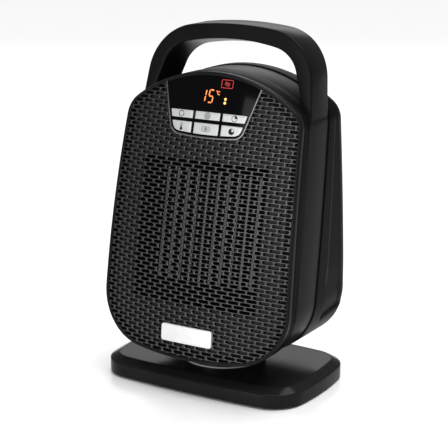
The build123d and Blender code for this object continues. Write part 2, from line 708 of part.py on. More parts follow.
def button_outline(name, shrink=0.0):
    """One button in the face's plane. Side buttons follow the panel's edge."""
    column, row = BUTTONS[name]
    field = panel_outline(-PANEL_RIM)
    if row == 0:
        top, bottom = UPPER_ROW_TOP, UPPER_ROW_TOP - UPPER_ROW_HEIGHT
    else:
        top, bottom = LOWER_ROW_TOP, PANEL_LOWEST - 1
    if column == 0:
        left, right = -MIDDLE_HALF, MIDDLE_HALF
    else:
        left, right = SIDE_BUTTON_INNER, PANEL_TOP_HALF
    cell = Pos((left + right) / 2, (top + bottom) / 2) * Rectangle(right - left, top - bottom)
    if column < 0:
        cell = mirror(cell, Plane.YZ)
    shape = cell & field
    if shrink:
        shape = offset(shape, -shrink)
    return shape


def button_centre(name):
    box = button_outline(name).bounding_box()
    return (box.min.X + box.max.X) / 2, (box.min.Y + box.max.Y) / 2


def button(name):
    """Cap with a stem that reaches to just above its switch."""
    x, w = button_centre(name)
    cap = through(button_outline(name, BUTTON_CLEARANCE), -FAR / 4, BUTTON_DEPTH) & dome(-BUTTON_PROUD)
    return cap + rod(x, w, 1.5, BUTTON_DEPTH - 1, SWITCH_TOP - SWITCH_GAP)


def panel_carrier():
    """Plate that the lens, the buttons and the board are mounted on."""
    depth = PANEL_THICKNESS - PANEL_PROUD + 0.2
    plate = through(panel_outline(-0.5), -FAR / 4, FAR / 4)
    plate &= curved_plate(depth, depth + 1.6) & body_prism(BEZEL_WIDTH + LEDGE_WIDTH + 0.6)
    for name in BUTTONS:
        plate -= through(button_outline(name), -FAR / 4, FAR / 4)
    plate -= through(Pos(0, DISPLAY_W) * Rectangle(DISPLAY_WIDTH + 1, DISPLAY_HEIGHT + 1), -FAR / 4, FAR / 4)
    for x, w in CARRIER_POSTS:
        plate += rod(x, w, 2.4, 0, BOARD_DEPTH) & dome(depth + 0.5)
    return plate


def display_panel():
    lens = through(panel_outline(), -FAR / 4, FAR / 4) & body_prism(BEZEL_WIDTH + 0.2)
    lens &= curved_plate(-PANEL_PROUD, PANEL_THICKNESS - PANEL_PROUD)
    for name in BUTTONS:
        lens -= through(button_outline(name), -FAR / 4, FAR / 4)
    return lens


def panel_trim():
    """Silver strip round the sides and the lower edge of the panel."""
    strip = through(panel_outline(TRIM_WIDTH), -FAR / 4, FAR / 4)
    strip -= through(panel_outline(0.1), -FAR / 4, FAR / 4)
    return strip & body_prism(BEZEL_WIDTH + 0.2) & curved_plate(-TRIM_PROUD, GRILLE_THICKNESS)


def display_module():
    """LED digits in their block, between the board and the lens."""
    block = Pos(0, DISPLAY_W) * Rectangle(DISPLAY_WIDTH, DISPLAY_HEIGHT)
    fall = sagitta(RISE_RADIUS, DISPLAY_W + DISPLAY_HEIGHT / 2) + sagitta(PLAN_RADIUS, DISPLAY_WIDTH / 2)
    return through(block, PANEL_THICKNESS + fall + RUNNING_GAP, BOARD_DEPTH)


def control_board():
    board = Pos(0, BOARD_W) * RectangleRounded(BOARD_WIDTH, BOARD_HEIGHT, 2)
    return through(board, BOARD_DEPTH, BOARD_DEPTH + BOARD_THICKNESS)


def board_components():
    """Two relays, a capacitor and a small transformer on the back of the board."""
    back = BOARD_DEPTH + BOARD_THICKNESS
    relays = [through(Pos(x, BOARD_W - 8) * Rectangle(19, 15), back, back + 15) for x in (-30, -8)]
    capacitor = rod(34, BOARD_W + 8, 6, back, back + 14)
    transformer = through(Pos(22, BOARD_W - 9) * Rectangle(22, 17), back, back + 16)
    connector = through(Pos(-22, BOARD_W + 12) * Rectangle(24, 7), back, back + 9)
    return Compound(children=relays + [capacitor, transformer, connector])


def tact_switches():
    switches = []
    for name in BUTTONS:
        x, w = button_centre(name)
        body = through(Pos(x, w) * Rectangle(6, 6), BOARD_DEPTH - 3.2, BOARD_DEPTH)
        switches.append(body + rod(x, w, 1.75, SWITCH_TOP, BOARD_DEPTH - 3))
    return Compound(children=switches)


def badge_plate():
    """Bare plate on the front of the grille."""
    w = (BODY_BOTTOM + BADGE_RISE - FACE_Z) / cos(radians(LEAN))
    plate = through(Pos(0, w) * RectangleRounded(BADGE_WIDTH, BADGE_HEIGHT, BADGE_CORNER), -FAR / 4, FAR / 4)
    return plate & curved_plate(-BADGE_THICKNESS - 0.05, -0.05)


# ---------------------------------------------------------------- heating element
def ptc_frame():
    """Heat-proof frame with a flange against the duct; the element sits in its opening."""
    flange_front = PTC_RECESS - RUNNING_GAP / 2
    flange = window_outline(DUCT_WALL + FLANGE_MARGIN)
    opening = Pos(0, PTC_W) * Rectangle(2 * PTC_HALF_WIDTH + 1, PTC_HEIGHT + 1)
    sleeve_size = (2 * PTC_HALF_WIDTH + 1 + 2 * FRAME_WALL, PTC_HEIGHT + 1 + 2 * FRAME_WALL)
    sleeve = Pos(0, PTC_W) * Rectangle(*sleeve_size)
    frame = through(flange, flange_front, flange_front + FLANGE_THICKNESS)
    frame += through(sleeve, flange_front, SHROUD_FRONT - 0.2)
    return frame - through(opening, 0, FAR)


def tube_places():
    pitch = (2 * PTC_HALF_WIDTH - TUBE_WIDTH) / (TUBE_COUNT - 1)
    return [(index - (TUBE_COUNT - 1) / 2) * pitch for index in range(TUBE_COUNT)], pitch


def ptc_tubes():
    """Flat aluminium tubes that hold the ceramic strips."""
    outside = Rectangle(TUBE_WIDTH, PTC_HEIGHT)
    hollow = Rectangle(TUBE_WIDTH - 2 * TUBE_WALL, PTC_HEIGHT)
    rear = PTC_RECESS + PTC_DEPTH
    tubes = []
    for x in tube_places()[0]:
        tube = through(Pos(x, PTC_W) * outside, PTC_RECESS, rear)
        tubes.append(tube - through(Pos(x, PTC_W) * hollow, PTC_RECESS + TUBE_WALL, rear - TUBE_WALL))
    return Compound(children=tubes)


def ptc_ceramics():
    strip = Rectangle(TUBE_WIDTH - 2 * TUBE_WALL - 0.1, PTC_HEIGHT - 2)
    front = PTC_RECESS + TUBE_WALL + 0.1
    rear = PTC_RECESS + PTC_DEPTH - TUBE_WALL - 0.1
    return Compound(children=[through(Pos(x, PTC_W) * strip, front, rear) for x in tube_places()[0]])


def fin_strip(width):
    """One folded strip: a zigzag up the element, as thick as its foil."""
    folds = int((PTC_HEIGHT - 2) / FIN_PITCH)
    reach = width / 2 - FIN_THICKNESS - 0.02
    start = -folds * FIN_PITCH / 2
    spine = []
    for fold in range(folds + 1):
        spine.append((reach if fold % 2 else -reach, start + fold * FIN_PITCH))
    left = [(x - FIN_THICKNESS, w) for x, w in spine]
    right = [(x + FIN_THICKNESS, w) for x, w in reversed(spine)]
    return make_face(Polyline(*left, *right, close=True))


def ptc_fins():
    places, pitch = tube_places()
    strip = fin_strip(pitch - TUBE_WIDTH)
    front = PTC_RECESS + 0.5
    rear = PTC_RECESS + PTC_DEPTH - 0.5
    banks = []
    for left in places[:-1]:
        banks.append(through(Pos(left + pitch / 2, PTC_W) * strip, front, rear))
    return Compound(children=banks)


def ptc_terminals():
    """Two blade terminals that come out of the frame's rear edge."""
    w = PTC_W + PTC_HEIGHT / 2 + FRAME_WALL + 1.1
    front = PTC_RECESS + FLANGE_THICKNESS + 1
    return Compound(children=[
        through(Pos(x, w) * Rectangle(6.3, 0.8), front, front + 12) for x in (-20, 20)
    ])


def thermal_cutout():
    """Bimetal disc switch on the side of the frame."""
    x = PTC_HALF_WIDTH + 0.5 + FRAME_WALL
    depth = PTC_RECESS + FLANGE_THICKNESS + 8
    place = Pos(x + CUTOUT_THICKNESS / 2, PTC_W + 20, -depth) * Rot(0, 90, 0)
    return on_face(place * Cylinder(CUTOUT_RADIUS, CUTOUT_THICKNESS))


def thermal_fuse():
    """Thermal fuse in its sleeve, along the other side of the frame."""
    x = -(PTC_HALF_WIDTH + 0.5 + FRAME_WALL + FUSE_RADIUS + 0.1)
    depth = PTC_RECESS + FLANGE_THICKNESS + 6
    return on_face(Pos(x, PTC_W + 10, -depth) * Rot(90, 0, 0) * Cylinder(FUSE_RADIUS, FUSE_LENGTH))


# ---------------------------------------------------------------- fan and its motor
def fan_shroud():
    """Square flange, round ring and four spokes that carry the motor."""
    flange = window_outline(DUCT_WALL + FLANGE_MARGIN)
    shroud = through(flange, SHROUD_FRONT, SHROUD_FRONT + FLANGE_THICKNESS)
    shroud += rod(0, WINDOW_W, SHROUD_RADIUS + SHROUD_WALL, SHROUD_FRONT, SHROUD_REAR)
    shroud -= rod(0, WINDOW_W, SHROUD_RADIUS, 0, FAR)
    mount = Circle(MOTOR_MOUNT_RADIUS) - Circle(6)
    spokes = Rectangle(2 * SHROUD_RADIUS + SHROUD_WALL, 5)
    cross = spokes + Rot(0, 0, 90) * spokes - Circle(6) + mount
    return shroud + through(Pos(0, WINDOW_W) * cross, SHROUD_REAR - 3, SHROUD_REAR)


def fan_wheel():
    """Hub with pitched blades, pressed on the motor's shaft."""
    front = SHROUD_FRONT + 3
    middle = front + FAN_HUB_DEPTH / 2
    wheel = rod(0, WINDOW_W, FAN_HUB_RADIUS, front, front + FAN_HUB_DEPTH)
    span = FAN_RADIUS - FAN_HUB_RADIUS + 2
    tips = rod(0, WINDOW_W, FAN_RADIUS, 0, FAR)
    for index in range(BLADE_COUNT):
        turn = Rot(0, 0, index * 360 / BLADE_COUNT)
        blade = Pos(FAN_HUB_RADIUS - 2 + span / 2, 0, 0) * Rot(BLADE_PITCH, 0, 0)
        blade *= Box(span + 2, BLADE_CHORD, BLADE_THICKNESS)
        wheel += spot(0, WINDOW_W, middle) * turn * blade & tips
    return wheel - rod(0, WINDOW_W, SHAFT_RADIUS + 0.02, 0, FAR)


def rotor_shaft():
    shaft = rod(0, WINDOW_W, SHAFT_RADIUS, SHROUD_FRONT + 2, MOTOR_REAR + BRACKET_THICKNESS + 3)
    return shaft + rod(0, WINDOW_W, ROTOR_RADIUS, STATOR_FRONT, STATOR_REAR)


def motor_stator():
    """Stack of steel sheets round the rotor, with a limb that the coil is wound on."""
    outline = Rectangle(STATOR_WIDTH, STATOR_HEIGHT)
    window_height = STATOR_HEIGHT / 2 - ROTOR_RADIUS - STATOR_LIMB
    drop = -STATOR_HEIGHT / 2 + STATOR_LIMB + window_height / 2
    outline -= Pos(0, drop) * Rectangle(STATOR_WIDTH - 2 * STATOR_LIMB, window_height)
    outline -= Circle(ROTOR_RADIUS + ROTOR_GAP)
    return through(Pos(0, WINDOW_W) * outline, STATOR_FRONT, STATOR_REAR)


def motor_coil():
    """Winding round the lower limb of the stack."""
    window_height = STATOR_HEIGHT / 2 - ROTOR_RADIUS - STATOR_LIMB
    thickness = window_height - 0.4
    w = WINDOW_W - STATOR_HEIGHT / 2 + STATOR_LIMB / 2
    width = STATOR_WIDTH - 2 * STATOR_LIMB - 1
    outer = Pos(0, w) * Rectangle(width, STATOR_LIMB + 2 * thickness)
    inner = Pos(0, w) * Rectangle(2 * width, STATOR_LIMB + 0.2)
    coil = through(outer, STATOR_FRONT - thickness, STATOR_REAR + thickness)
    return coil - through(inner, STATOR_FRONT - 0.1, STATOR_REAR + 0.1)


def motor_brackets():
    """Front and rear bearing bars, each with two spacers to the stator."""
    bars = []
    bar = Pos(0, WINDOW_W) * (Rectangle(2 * BRACKET_HALF + 8, 13) + Circle(9))
    bearing = rod(0, WINDOW_W, SHAFT_RADIUS + SHAFT_CLEARANCE, 0, FAR)
    spans = (
        (SHROUD_REAR, MOTOR_FRONT, MOTOR_FRONT, STATOR_FRONT),
        (MOTOR_REAR, MOTOR_REAR + BRACKET_THICKNESS, STATOR_REAR, MOTOR_REAR),
    )
    for bar_front, bar_rear, spacer_front, spacer_rear in spans:
        piece = through(bar, bar_front, bar_rear) - bearing
        for x in (-BRACKET_HALF, BRACKET_HALF):
            piece += rod(x, WINDOW_W, 3, spacer_front, spacer_rear)
        bars.append(piece)
    return Compound(children=bars)


def module_screws():
    """Four spacer bolts at the corners, between the element's flange and the fan's."""
    bolts = []
    for x in (-MODULE_BOLT_X, MODULE_BOLT_X):
        for side in (-1, 1):
            w = WINDOW_W + side * MODULE_BOLT_W
            front = PTC_RECESS - RUNNING_GAP / 2 + FLANGE_THICKNESS
            bolts.append(rod(x, w, 2.6, front, SHROUD_FRONT))
    return Compound(children=bolts)


# ---------------------------------------------------------------- write every piece
PIECES = [
    base_shell, base_plate, rubber_feet, base_screws, pivot_post, post_screws, post_clip,
    slide_ring, drive_fork, cord_gland,
    swivel_collar, swing_bracket, swing_motor, swing_crank, tip_switch,
    front_housing, front_bezel, front_grille, duct_frame, handle_band, rear_housing,
    intake_grille, dust_filter, housing_screws,
    panel_carrier, display_panel, panel_trim, display_module, control_board,
    board_components, tact_switches, badge_plate,
    ptc_frame, ptc_tubes, ptc_ceramics, ptc_fins, ptc_terminals, thermal_cutout, thermal_fuse,
    fan_shroud, fan_wheel, rotor_shaft, motor_stator, motor_coil, motor_brackets, module_screws,
]

for piece in PIECES:
    export_step(piece(), f"parts/{piece.__name__}.step")

for button_name in BUTTONS:
    export_step(button(button_name), f"parts/{button_name}.step")
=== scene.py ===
import math

import bmesh
import bpy
import numpy as np
from mathutils import Matrix, Vector


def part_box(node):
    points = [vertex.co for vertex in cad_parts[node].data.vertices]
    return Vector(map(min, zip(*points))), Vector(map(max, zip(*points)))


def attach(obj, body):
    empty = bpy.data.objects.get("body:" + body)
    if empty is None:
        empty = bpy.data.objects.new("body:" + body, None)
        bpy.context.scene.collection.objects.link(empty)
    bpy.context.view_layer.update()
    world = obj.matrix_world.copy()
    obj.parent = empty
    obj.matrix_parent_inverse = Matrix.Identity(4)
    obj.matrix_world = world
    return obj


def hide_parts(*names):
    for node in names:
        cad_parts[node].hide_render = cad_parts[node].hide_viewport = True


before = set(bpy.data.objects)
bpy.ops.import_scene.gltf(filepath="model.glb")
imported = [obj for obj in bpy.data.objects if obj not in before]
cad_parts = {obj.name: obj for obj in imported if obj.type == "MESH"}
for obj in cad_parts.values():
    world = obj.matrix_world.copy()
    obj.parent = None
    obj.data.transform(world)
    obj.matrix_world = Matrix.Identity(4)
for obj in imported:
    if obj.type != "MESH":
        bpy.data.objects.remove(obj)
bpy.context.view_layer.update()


# ---------------------------------------------------------------- base cover
# The upper half of the base: one moulding in glossy black plastic with an upright band, a bevel
# all round and a flat top. The post of the swivel comes up through the hole in its middle.
MM = 0.001
BASE_SIDE_BOW = 4.4
BASE_END_BOW = 6.2
BASE_CORNER = 30.0
BASE_BAND_TOP = 12.7
BEVEL_RUN = 8.4
BASE_WALL = 2.4
POST_HOLE = 8.3


class Socket:
    """One output of a shader node; sums, differences and products add their own Math nodes."""

    def __init__(self, finish, link):
        self.finish = finish
        self.link = link

    def math(self, operation, first, second):
        return self.finish.node("ShaderNodeMath", {"operation": operation}, {0: first, 1: second})

    def __add__(self, other):
        return self.math("ADD", self, other)

    def __radd__(self, other):
        return self.math("ADD", other, self)

    def __sub__(self, other):
        return self.math("SUBTRACT", self, other)

    def __rsub__(self, other):
        return self.math("SUBTRACT", other, self)

    def __mul__(self, other):
        return self.math("MULTIPLY", self, other)

    def __rmul__(self, other):
        return self.math("MULTIPLY", other, self)


class Finish:
    """A material: one Principled shader and the nodes that vary it over the surface."""

    def __init__(self, name, constants):
        self.material = bpy.data.materials.new(name)
        self.material.use_nodes = True
        self.tree = self.material.node_tree
        self.shader = self.tree.nodes["Principled BSDF"]
        self.surface(constants)

    def surface(self, sockets):
        for name, value in sockets.items():
            self.put(self.shader.inputs[name], value)

    def put(self, socket, value):
        if isinstance(value, Socket):
            self.tree.links.new(value.link, socket)
        else:
            socket.default_value = value

    def node(self, kind, settings, sockets, output=0):
        made = self.tree.nodes.new(kind)
        for name, value in settings.items():
            setattr(made, name, value)
        for name, value in sockets.items():
            self.put(made.inputs[name], value)
        return Socket(self, made.outputs[output])

    def noise(self, scale, detail=2.0):
        place = self.node("ShaderNodeTexCoord", {}, {}, "Object")
        return self.node("ShaderNodeTexNoise", {}, {"Vector": place, "Scale": scale, "Detail": detail})

    def between(self, amount, first, second):
        """A colour from first to second, by an amount from 0 to 1."""
        colours = {0: amount, 6: (*first, 1), 7: (*second, 1)}
        return self.node("ShaderNodeMix", {"data_type": "RGBA"}, colours, 2)

    def bump(self, height, distance):
        return self.node("ShaderNodeBump", {}, {"Distance": distance * MM, "Height": height})


def moulded(name, dark, light, smooth, dull, grain=2200, grain_depth=0.01, shine=0.5):
    """Moulded plastic: two close colours in soft patches, uneven gloss and a fine surface grain."""
    finish = Finish(name, {"IOR": 1.5, "Specular IOR Level": shine})
    patches = finish.noise(28, 3)
    fine = finish.noise(grain)
    finish.surface({
        "Base Color": finish.between(patches, dark, light),
        "Roughness": smooth + (dull - smooth) * (0.6 * patches + 0.4 * fine),
        "Normal": finish.bump(fine, grain_depth),
    })
    return finish.material


def box_mm(node):
    return [np.array(corner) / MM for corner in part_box(node)]


def circle_through(a, b, c):
    """Centre and radius of the circle through three points."""
    (ax, ay), (bx, by), (cx, cy) = a, b, c
    double = 2 * (ax * (by - cy) + bx * (cy - ay) + cx * (ay - by))
    squares = ax**2 + ay**2, bx**2 + by**2, cx**2 + cy**2
    x = (squares[0] * (by - cy) + squares[1] * (cy - ay) + squares[2] * (ay - by)) / double
    y = (squares[0] * (cx - bx) + squares[1] * (ax - cx) + squares[2] * (bx - ax)) / double
    return np.array((x, y)), math.dist((x, y), a)


def crossing(first, second, near):
    """Where two circles cross, at the crossing nearest to a point."""
    (centre_a, radius_a), (centre_b, radius_b) = first, second
    line = centre_b - centre_a
    gap = np.linalg.norm(line)
    along = (radius_a**2 - radius_b**2 + gap**2) / (2 * gap)
    aside = math.sqrt(max(radius_a**2 - along**2, 0))
    foot = centre_a + line * along / gap
    square = np.array((-line[1], line[0])) / gap
    return min((foot + square * aside, foot - square * aside), key=lambda p: math.dist(p, near))


def rounded_outline(corners, middles, radii, spacing):
    """Points and outward normals round a convex shape, anticlockwise. Each side is an arc from one
    corner through its middle point to the next corner, and each corner is rounded to its radius."""
    count = len(corners)
    sides = [circle_through(corners[i], middles[i], corners[(i + 1) % count]) for i in range(count)]
    turns = []
    for i in range(count):
        before, after = sides[i - 1], sides[i]
        inner = (before[0], before[1] - radii[i]), (after[0], after[1] - radii[i])
        turns.append(crossing(*inner, corners[i]))
    points, normals = [], []
    for i in range(count):
        after = (i + 1) % count
        angles = []
        for turn, side in ((turns[i], sides[i - 1]), (turns[i], sides[i]), (turns[after], sides[i])):
            angles.append(math.atan2(*(turn - side[0])[::-1]))
        for centre, radius, start, end in (
            (turns[i], radii[i], angles[0], angles[1]),
            (sides[i][0], sides[i][1], angles[1], angles[2]),
        ):
            sweep = (end - start) % (2 * math.pi)
            steps = max(2, math.ceil(sweep * radius / spacing))
            for step in range(steps):
                angle = start + sweep * step / steps
                normal = np.array((math.cos(angle), math.sin(angle)))
                points.append(centre + radius * normal)
                normals.append(normal)
    return np.array(points), np.array(normals)


def moved_in(outline, distance):
    return outline[0] - outline[1] * distance


def eased(corners, steps=4):
    """A profile of (across, along, ease) corners, each rounded over its ease."""
    profile = []
    for i, (*corner, ease) in enumerate(corners):
        corner = np.array(corner, float)
        if not ease:
            profile.append(corner)
            continue
        ends = []
        for near in (corners[i - 1], corners[(i + 1) % len(corners)]):
            reach = np.array(near[:-1], float) - corner
            ends.append(corner + reach * min(ease / np.linalg.norm(reach), 0.5))
        for t in np.linspace(0, 1, steps + 1):
            profile.append((1 - t)**2 * ends[0] + 2 * t * (1 - t) * corner + t**2 * ends[1])
    return profile


def loft(bm, rings, closed=False):
    """Quads between rings of points; closed joins the last ring to the first."""
    rows = [[bm.verts.new(point) for point in ring] for ring in rings]
    pairs = list(zip(rows, rows[1:]))
    if closed:
        pairs.append((rows[-1], rows[0]))
    for near, far in pairs:
        for i in range(len(near)):
            bm.faces.new((near[i - 1], near[i], far[i], far[i - 1]))
    return rows


def piece(name, bm, material, body, slot, *nodes, sharp=30):
    """Turns a bmesh in millimetres into a piece that rides on a body and stands for CAD nodes."""
    bmesh.ops.recalc_face_normals(bm, faces=bm.faces)
    bm.transform(Matrix.Scale(MM, 4))
    mesh = bpy.data.meshes.new(name)
    bm.to_mesh(mesh)
    bm.free()
    mesh.shade_smooth()
    mesh.set_sharp_from_angle(angle=math.radians(sharp))
    mesh.materials.append(material)
    made = bpy.data.objects.new(name, mesh)
    bpy.context.collection.objects.link(made)
    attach(made, body)
    if nodes:
        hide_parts(*nodes)
    return made


gloss_black = moulded("gloss black base", (0.010, 0.010, 0.011), (0.014, 0.014, 0.015), 0.12, 0.22,
                      grain=900, grain_depth=0.004, shine=0.06)

base_low, base_high = box_mm("base_shell")
base_corner = (base_high[0] - BASE_END_BOW, base_high[1] - BASE_SIDE_BOW)
base_corners = [(-base_corner[0], -base_corner[1]), (base_corner[0], -base_corner[1]),
                base_corner, (-base_corner[0], base_corner[1])]
base_middles = [(0, -base_high[1]), (base_high[0], 0), (0, base_high[1]), (-base_high[0], 0)]
base_outline = rounded_outline(base_corners, base_middles, [BASE_CORNER] * 4, 1.5)


def base_rings(profile):
    rings = []
    for inset, z in profile:
        flat = moved_in(base_outline, inset)
        rings.append(np.column_stack((flat, np.full(len(flat), z))))
    return rings


def post_hole_ring(z):
    directions = base_outline[0] / np.linalg.norm(base_outline[0], axis=1)[:, None]
    return np.column_stack((directions * POST_HOLE, np.full(len(directions), z)))


bottom, top = base_low[2], base_high[2]
outside = eased([
    (BASE_WALL, bottom, 0), (0, bottom, 0.5), (0, BASE_BAND_TOP, 1.0), (BEVEL_RUN, top, 1.4), (20, top, 0),
])
inside = [(20, top - BASE_WALL), (BEVEL_RUN + 1.2, top - BASE_WALL), (BASE_WALL, BASE_BAND_TOP - 1.3)]
bm = bmesh.new()
loft(bm, base_rings(outside) + [post_hole_ring(top), post_hole_ring(top - BASE_WALL)] + base_rings(inside),
     closed=True)
piece("base_cover", bm, gloss_black, "base", "casing", "base_shell")


# ---------------------------------------------------------------- parts of the base
# The plate that closes the base from below, its rubber feet and screws, the hollow steel post that
# the heater turns on, with its clip and slide ring, the slotted drive plate and the lead's bush.
def dress(material, *nodes):
    """Gives CAD nodes a finish."""
    for node in nodes:
        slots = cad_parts[node].data.materials
        slots.clear()
        slots.append(material)


def metal(name, dark, light, smooth, dull, brushing=400, depth=0.004, share=1.0):
    """Bare or painted metal: uneven brightness and gloss, and fine scratches."""
    finish = Finish(name, {"Metallic": share})
    patches = finish.noise(60, 3)
    scratches = finish.noise(brushing, 6)
    finish.surface({
        "Base Color": finish.between(patches, dark, light),
        "Roughness": smooth + (dull - smooth) * (0.5 * patches + 0.5 * scratches),
        "Normal": finish.bump(scratches, depth),
    })
    return finish.material


dark_plastic = moulded("dark grey plastic", (0.018, 0.018, 0.019), (0.028, 0.028, 0.029), 0.45, 0.60)
rubber = moulded("black rubber", (0.012, 0.012, 0.012), (0.022, 0.021, 0.020), 0.72, 0.88, 1500, 0.03)
steel = metal("zinc plated steel", (0.50, 0.50, 0.52), (0.66, 0.66, 0.68), 0.25, 0.42)
nylon = moulded("natural nylon", (0.62, 0.60, 0.55), (0.72, 0.70, 0.65), 0.35, 0.50)
dress(dark_plastic, "base_plate")
dress(rubber, "rubber_feet", "cord_gland")
dress(steel, "base_screws", "pivot_post", "post_screws", "post_clip")
dress(nylon, "slide_ring", "drive_fork")


# ---------------------------------------------------------------- swivel and its drive
# A skirt under the body with a bearing disc that runs on the post. Inside, a shelf holds the geared
# motor whose crank pushes on the drive plate, and the sealed can that feels when the heater tips.
dress(moulded("satin black skirt", (0.011, 0.011, 0.012), (0.016, 0.016, 0.017), 0.30, 0.42),
      "swivel_collar")
dress(nylon, "swing_crank")
dress(dark_plastic, "swing_bracket")
dress(steel, "swing_motor", "tip_switch")


# ---------------------------------------------------------------- front casing
# The front ring of the body, moulded in satin black plastic. From the front the body is rounded at
# all corners and a little wider at the hips; its front is a shallow dome that leans back.
FACE_Y = -45.65
FACE_Z = 155.9
LEAN = math.radians(11.43)
PLAN_RADIUS = 485.0
RISE_RADIUS = 1067.0
HIP_HALF = 91.2
SHOULDER_HALF = 84.2
SIDE_BULGE = 1.2
TOP_RADIUS = 127.0
BOTTOM_RADIUS = 350.0
SHOULDER_ROUND = 22.0
HIP_ROUND = 46.0
WALL = 2.5
BEZEL_DEPTH = 4.0
BAND_FRONT = 27.5
LEDGE_WIDTH = 8.6           # the grille's edge lies on this ledge, just behind its slots
LEDGE_REAR = 6.0
LEDGE_DEPTH = 2.2


def fall(radius, reach):
    """How far an arc falls away from its middle at a given reach."""
    return radius - np.sqrt(radius**2 - np.square(reach))


def face_place(u, w, depth):
    """X, Y, Z of places given across the face, up its lean, and behind its domed surface."""
    drop = depth + fall(RISE_RADIUS - depth, w)
    back = PLAN_RADIUS - np.sqrt((PLAN_RADIUS - drop)**2 - np.square(u))
    y = FACE_Y + w * math.sin(LEAN) + back * math.cos(LEAN)
    z = FACE_Z + w * math.cos(LEAN) - back * math.sin(LEAN)
    return np.stack(np.broadcast_arrays(u, y, z), axis=-1)


def domed(x, z, depth):
    """Y of the domed front, moved back by depth, at given X and heights."""
    w = (z - FACE_Z) / math.cos(LEAN)
    for _ in range(6):
        w = w + (z - face_place(x, w, depth)[..., 2]) / math.cos(LEAN)
    return face_place(x, w, depth)[..., 1]


def leaning(x, z, depth):
    """Y of the plane that lies depth behind the middle of the front and leans with it."""
    return FACE_Y + (depth + (z - FACE_Z) * math.sin(LEAN)) / math.cos(LEAN) + 0 * x


body_top = box_mm("front_housing")[1][2]
body_bottom = box_mm("front_housing")[0][2]
shoulder = (SHOULDER_HALF, body_top - fall(TOP_RADIUS, SHOULDER_HALF))
hip = (HIP_HALF, body_bottom + fall(BOTTOM_RADIUS, HIP_HALF))
waist = ((SHOULDER_HALF + HIP_HALF) / 2 + SIDE_BULGE, (shoulder[1] + hip[1]) / 2)
body_outline = rounded_outline(
    [(-hip[0], hip[1]), hip, shoulder, (-shoulder[0], shoulder[1])],
    [(0, body_bottom), waist, (0, body_top), (-waist[0], waist[1])],
    [HIP_ROUND, HIP_ROUND, SHOULDER_ROUND, SHOULDER_ROUND], 1.6,
)


def hoop(profile):
    """Rings round the body. A step of the profile is an inset, a surface and a distance behind it."""
    rings = []
    for inset, surface, back in profile:
        x, z = moved_in(body_outline, inset).T
        rings.append(np.column_stack((x, surface(x, z, back), z)))
    return rings


satin_black = moulded("satin black casing", (0.0035, 0.0035, 0.004), (0.005, 0.005, 0.0055), 0.30, 0.40,
                      shine=0.02)
front_edge = eased([(WALL, BEZEL_DEPTH + 0.1, 0), (0, BEZEL_DEPTH + 0.1, 0.7), (0, 12, 0)])
rear_edge = eased([(0, 20, 0), (0, BAND_FRONT, 0.7), (WALL, BAND_FRONT, 0)])
ledge = [(WALL, LEDGE_REAR), (LEDGE_WIDTH, LEDGE_REAR), (LEDGE_WIDTH, LEDGE_DEPTH),
         (WALL + 0.9, LEDGE_DEPTH), (WALL + 0.9, BEZEL_DEPTH + 0.1)]
bm = bmesh.new()
loft(bm, hoop([(inset, domed, back) for inset, back in front_edge]
              + [(inset, leaning, back) for inset, back in rear_edge]
              + [(inset, domed, back) for inset, back in ledge]), closed=True)
piece("front_casing", bm, satin_black, "heater", "casing", "front_housing")


# ---------------------------------------------------------------- bezel
# A thin moulded frame that is clipped round the front. Its edge stands a little proud of the grille
# and has a fine step inside, so that it catches the light as a thin line.
BEZEL_WIDTH = 3.2
BEZEL_PROUD = 1.0

bezel_black = moulded("satin black bezel", (0.008, 0.008, 0.009), (0.012, 0.012, 0.013), 0.24, 0.32,
                      shine=0.06)
bezel_profile = eased([
    (0.1, BEZEL_DEPTH, 0.3), (0.1, -0.1, 0.8), (0.9, -BEZEL_PROUD, 0.7), (2.3, -BEZEL_PROUD, 0.5),
    (2.5, -0.3, 0.2), (3.1, -0.1, 0.2), (BEZEL_WIDTH, BEZEL_DEPTH, 0.2),
])
bm = bmesh.new()
loft(bm, hoop([(inset, domed, back) for inset, back in bezel_profile]), closed=True)
piece("bezel_frame", bm, bezel_black, "heater", "bezel", "front_bezel")


# ---------------------------------------------------------------- handle
# The middle ring of the casing, set in slightly between the front and rear rings. At the shoulders
# it leaves the body and rises over it as the carrying handle, moulded in one with the ring.
BAND_DEPTH = 29.0
BAND_REAR = BAND_FRONT + BAND_DEPTH
BAND_INSET = 0.8
BAND_WALL = 2.7
ARCH_CROWN = 320.0
ARCH_HALF = 75.5
ARCH_SPREAD = 7.0
ARCH_ROUND = 45.0
GRIP_THICKNESS = 9.5
GRIP_CROWN = 206.0
GRIP_HALF = 60.0
GRIP_SPREAD = 15.0
GRIP_ROUND = 26.0
GRIP_FRONT = -2.0           # the opening narrows from here to GRIP_REAR, by GRIP_DRAFT all round
GRIP_REAR = 42.0
GRIP_DRAFT = 8.0
LEG_REST = 4.0              # how far the handle's legs run on inside the ring
HANDLE_EDGE = 1.5


